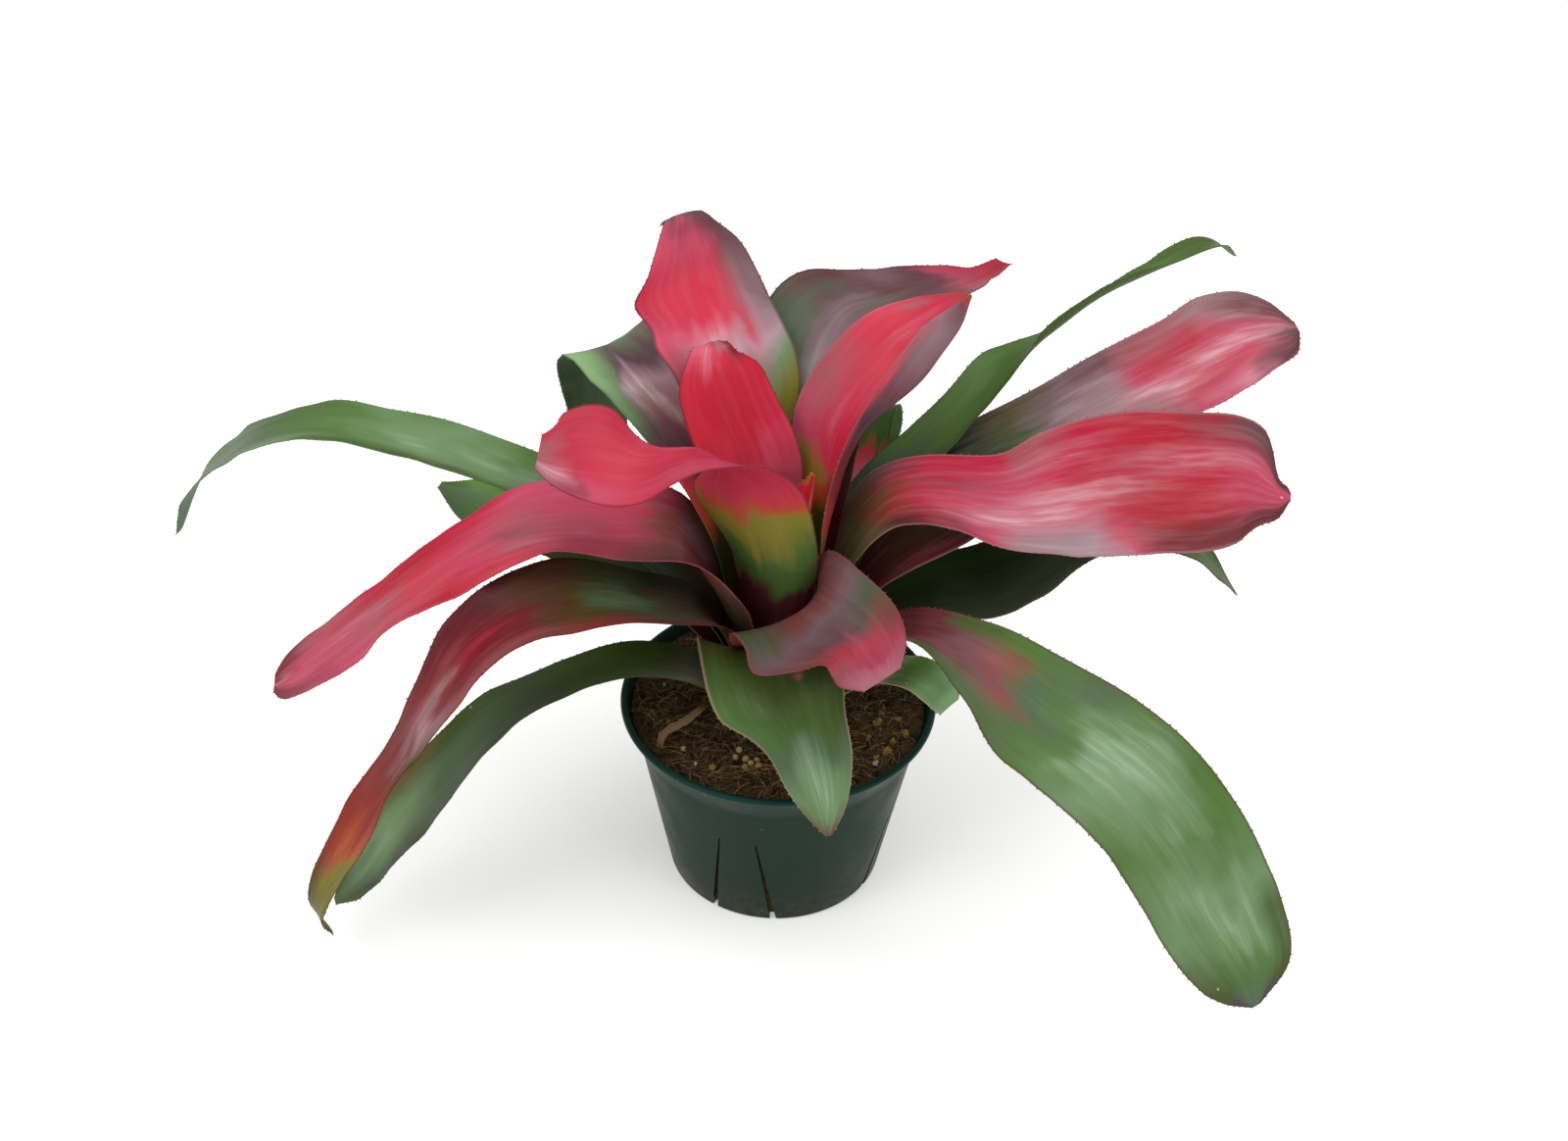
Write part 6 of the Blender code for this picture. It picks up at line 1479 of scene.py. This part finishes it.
def dryLeaf(b):
    # A shallow trough with ragged edges
    line, length = evenPath(np.array(b["points"]) * mm, b["rows"] + 1)
    along = unitVectors(np.gradient(line, axis=0))
    across = unitVectors(np.cross(along, np.array([0, 0, 1.0])))
    above = np.cross(across, along)
    t = np.linspace(0, 1, b["rows"] + 1)
    half = throughStations(b["width"], t)[:, 0] / 2 * mm
    s = np.linspace(-1, 1, b["columns"] + 1)
    lift = b["trough"] * np.abs(s)[None] ** 1.3 + b["ripple"] * np.sin(9 * s[None] + 5 * t[:, None])
    ragged = 1
    for depth, count, phase in b["ragged"]:
        ragged = ragged + depth * np.sin(count * t + phase)
    surface = line[:, None] + (half * ragged)[:, None, None] * s[None, :, None] * across[:, None]
    surface = surface + lift[..., None] * above[:, None]
    points, faces, where, _ = leafSolid(surface[:, ::-1], t, s, length, 30)
    thing = newObject("dryStrip", points, faces)
    setPointData(thing.data, "leafPlace", "FLOAT_VECTOR", where)
    return thing


def dryMaterial(b):
    material, tree, shader = newMaterial("dryStrip")
    spot = addNode(tree, "ShaderNodeAttribute", {"attribute_name": "leafPlace"}).outputs["Vector"]
    wander = place(tree, leafWander, {**b["wander"], "Place": spot})
    streaks = place(tree, leafStreaks, {**b["streaks"], "Place": spot})
    colour = colourRamp(tree, b["colours"], wander["Along"])
    share = maths(tree, "MULTIPLY", streaks["Broad"], b["streakShare"])
    colour = blendColour(tree, share, colour, paint("brown"))
    tree.links.new(colour, shader.inputs["Base Color"])
    tree.links.new(remap(tree, streaks["Fine"], 0, 1, *b["rough"], False), shader.inputs["Roughness"])
    addBump(tree, shader, streaks["Fine"], b["bumpStrength"], b["bumpHeight"])
    return material


finishPiece(dryLeaf(dryBuild), dryMaterial(dryBuild), 50, ["dry_leaf"])


# Studio: pale floor, soft lights and the camera
studio = dict(
    floorSize=14.0, floorColour=(0.86, 0.86, 0.86, 1.0), floorRough=0.7, floorShine=0.2, floorGlow=0.38,
    glowColour=(1.0, 1.0, 1.0, 1.0), worldColour=(0.98, 0.97, 0.95, 1.0), worldStrength=0.5,
    lights=[("topPanel", (0.1, -0.1, 1.7), (0, 0, 0.15), 1.5, 17.0),
            ("leftPanel", (-1.5, -1.1, 1.2), (0, 0, 0.15), 1.1, 13.0),
            ("rightPanel", (1.4, -0.9, 0.9), (0, 0, 0.12), 1.0, 7.0)],
    lens=50.0, sensor=36.0, eye=(0.0010, -0.8053, 0.7800), pitch=36.91, roll=1.61,
)


def addStage(b):
    size = b["floorSize"] / 2
    floor = newObject("paleFloor", [(-size, -size, 0), (size, -size, 0), (size, size, 0), (-size, size, 0)],
                      [(0, 1, 2, 3)])
    material, _, shader = newMaterial("paleFloor")
    for key, value in (("Base Color", b["floorColour"]), ("Roughness", b["floorRough"]),
                       ("Specular IOR Level", b["floorShine"]), ("Emission Color", b["glowColour"]),
                       ("Emission Strength", b["floorGlow"])):
        shader.inputs[key].default_value = value
    floor.data.materials.append(material)
    world = bpy.data.worlds.new("paleRoom")
    world.use_nodes = True
    background = world.node_tree.nodes["Background"]
    background.inputs["Color"].default_value = b["worldColour"]
    background.inputs["Strength"].default_value = b["worldStrength"]
    bpy.context.scene.world = world
    for name, spot, aim, size, power in b["lights"]:
        light = bpy.data.lights.new(name, "AREA")
        light.size = size
        light.energy = power
        lamp = bpy.data.objects.new(name, light)
        lamp.location = spot
        lamp.rotation_euler = (Vector(aim) - Vector(spot)).to_track_quat("-Z", "Y").to_euler()
        bpy.context.scene.collection.objects.link(lamp)


def addCamera(b):
    pitch, roll = math.radians(b["pitch"]), math.radians(b["roll"])
    forward = Vector((0, math.cos(pitch), -math.sin(pitch)))
    right = Vector((1, 0, 0))
    up = right.cross(forward)
    rolledRight = right * math.cos(roll) + up * math.sin(roll)
    rolledUp = up * math.cos(roll) - right * math.sin(roll)
    data = bpy.data.cameras.new("frontCamera")
    data.lens = b["lens"]
    data.sensor_width = b["sensor"]
    camera = bpy.data.objects.new("frontCamera", data)
    turn = Matrix((rolledRight, rolledUp, -forward)).transposed().to_4x4()
    camera.matrix_world = Matrix.Translation(b["eye"]) @ turn
    bpy.context.scene.collection.objects.link(camera)
    bpy.context.scene.camera = camera


print("studio: floor, lights and camera")
addStage(studio)
addCamera(studio)
bpy.context.scene.view_settings.view_transform = "Standard"
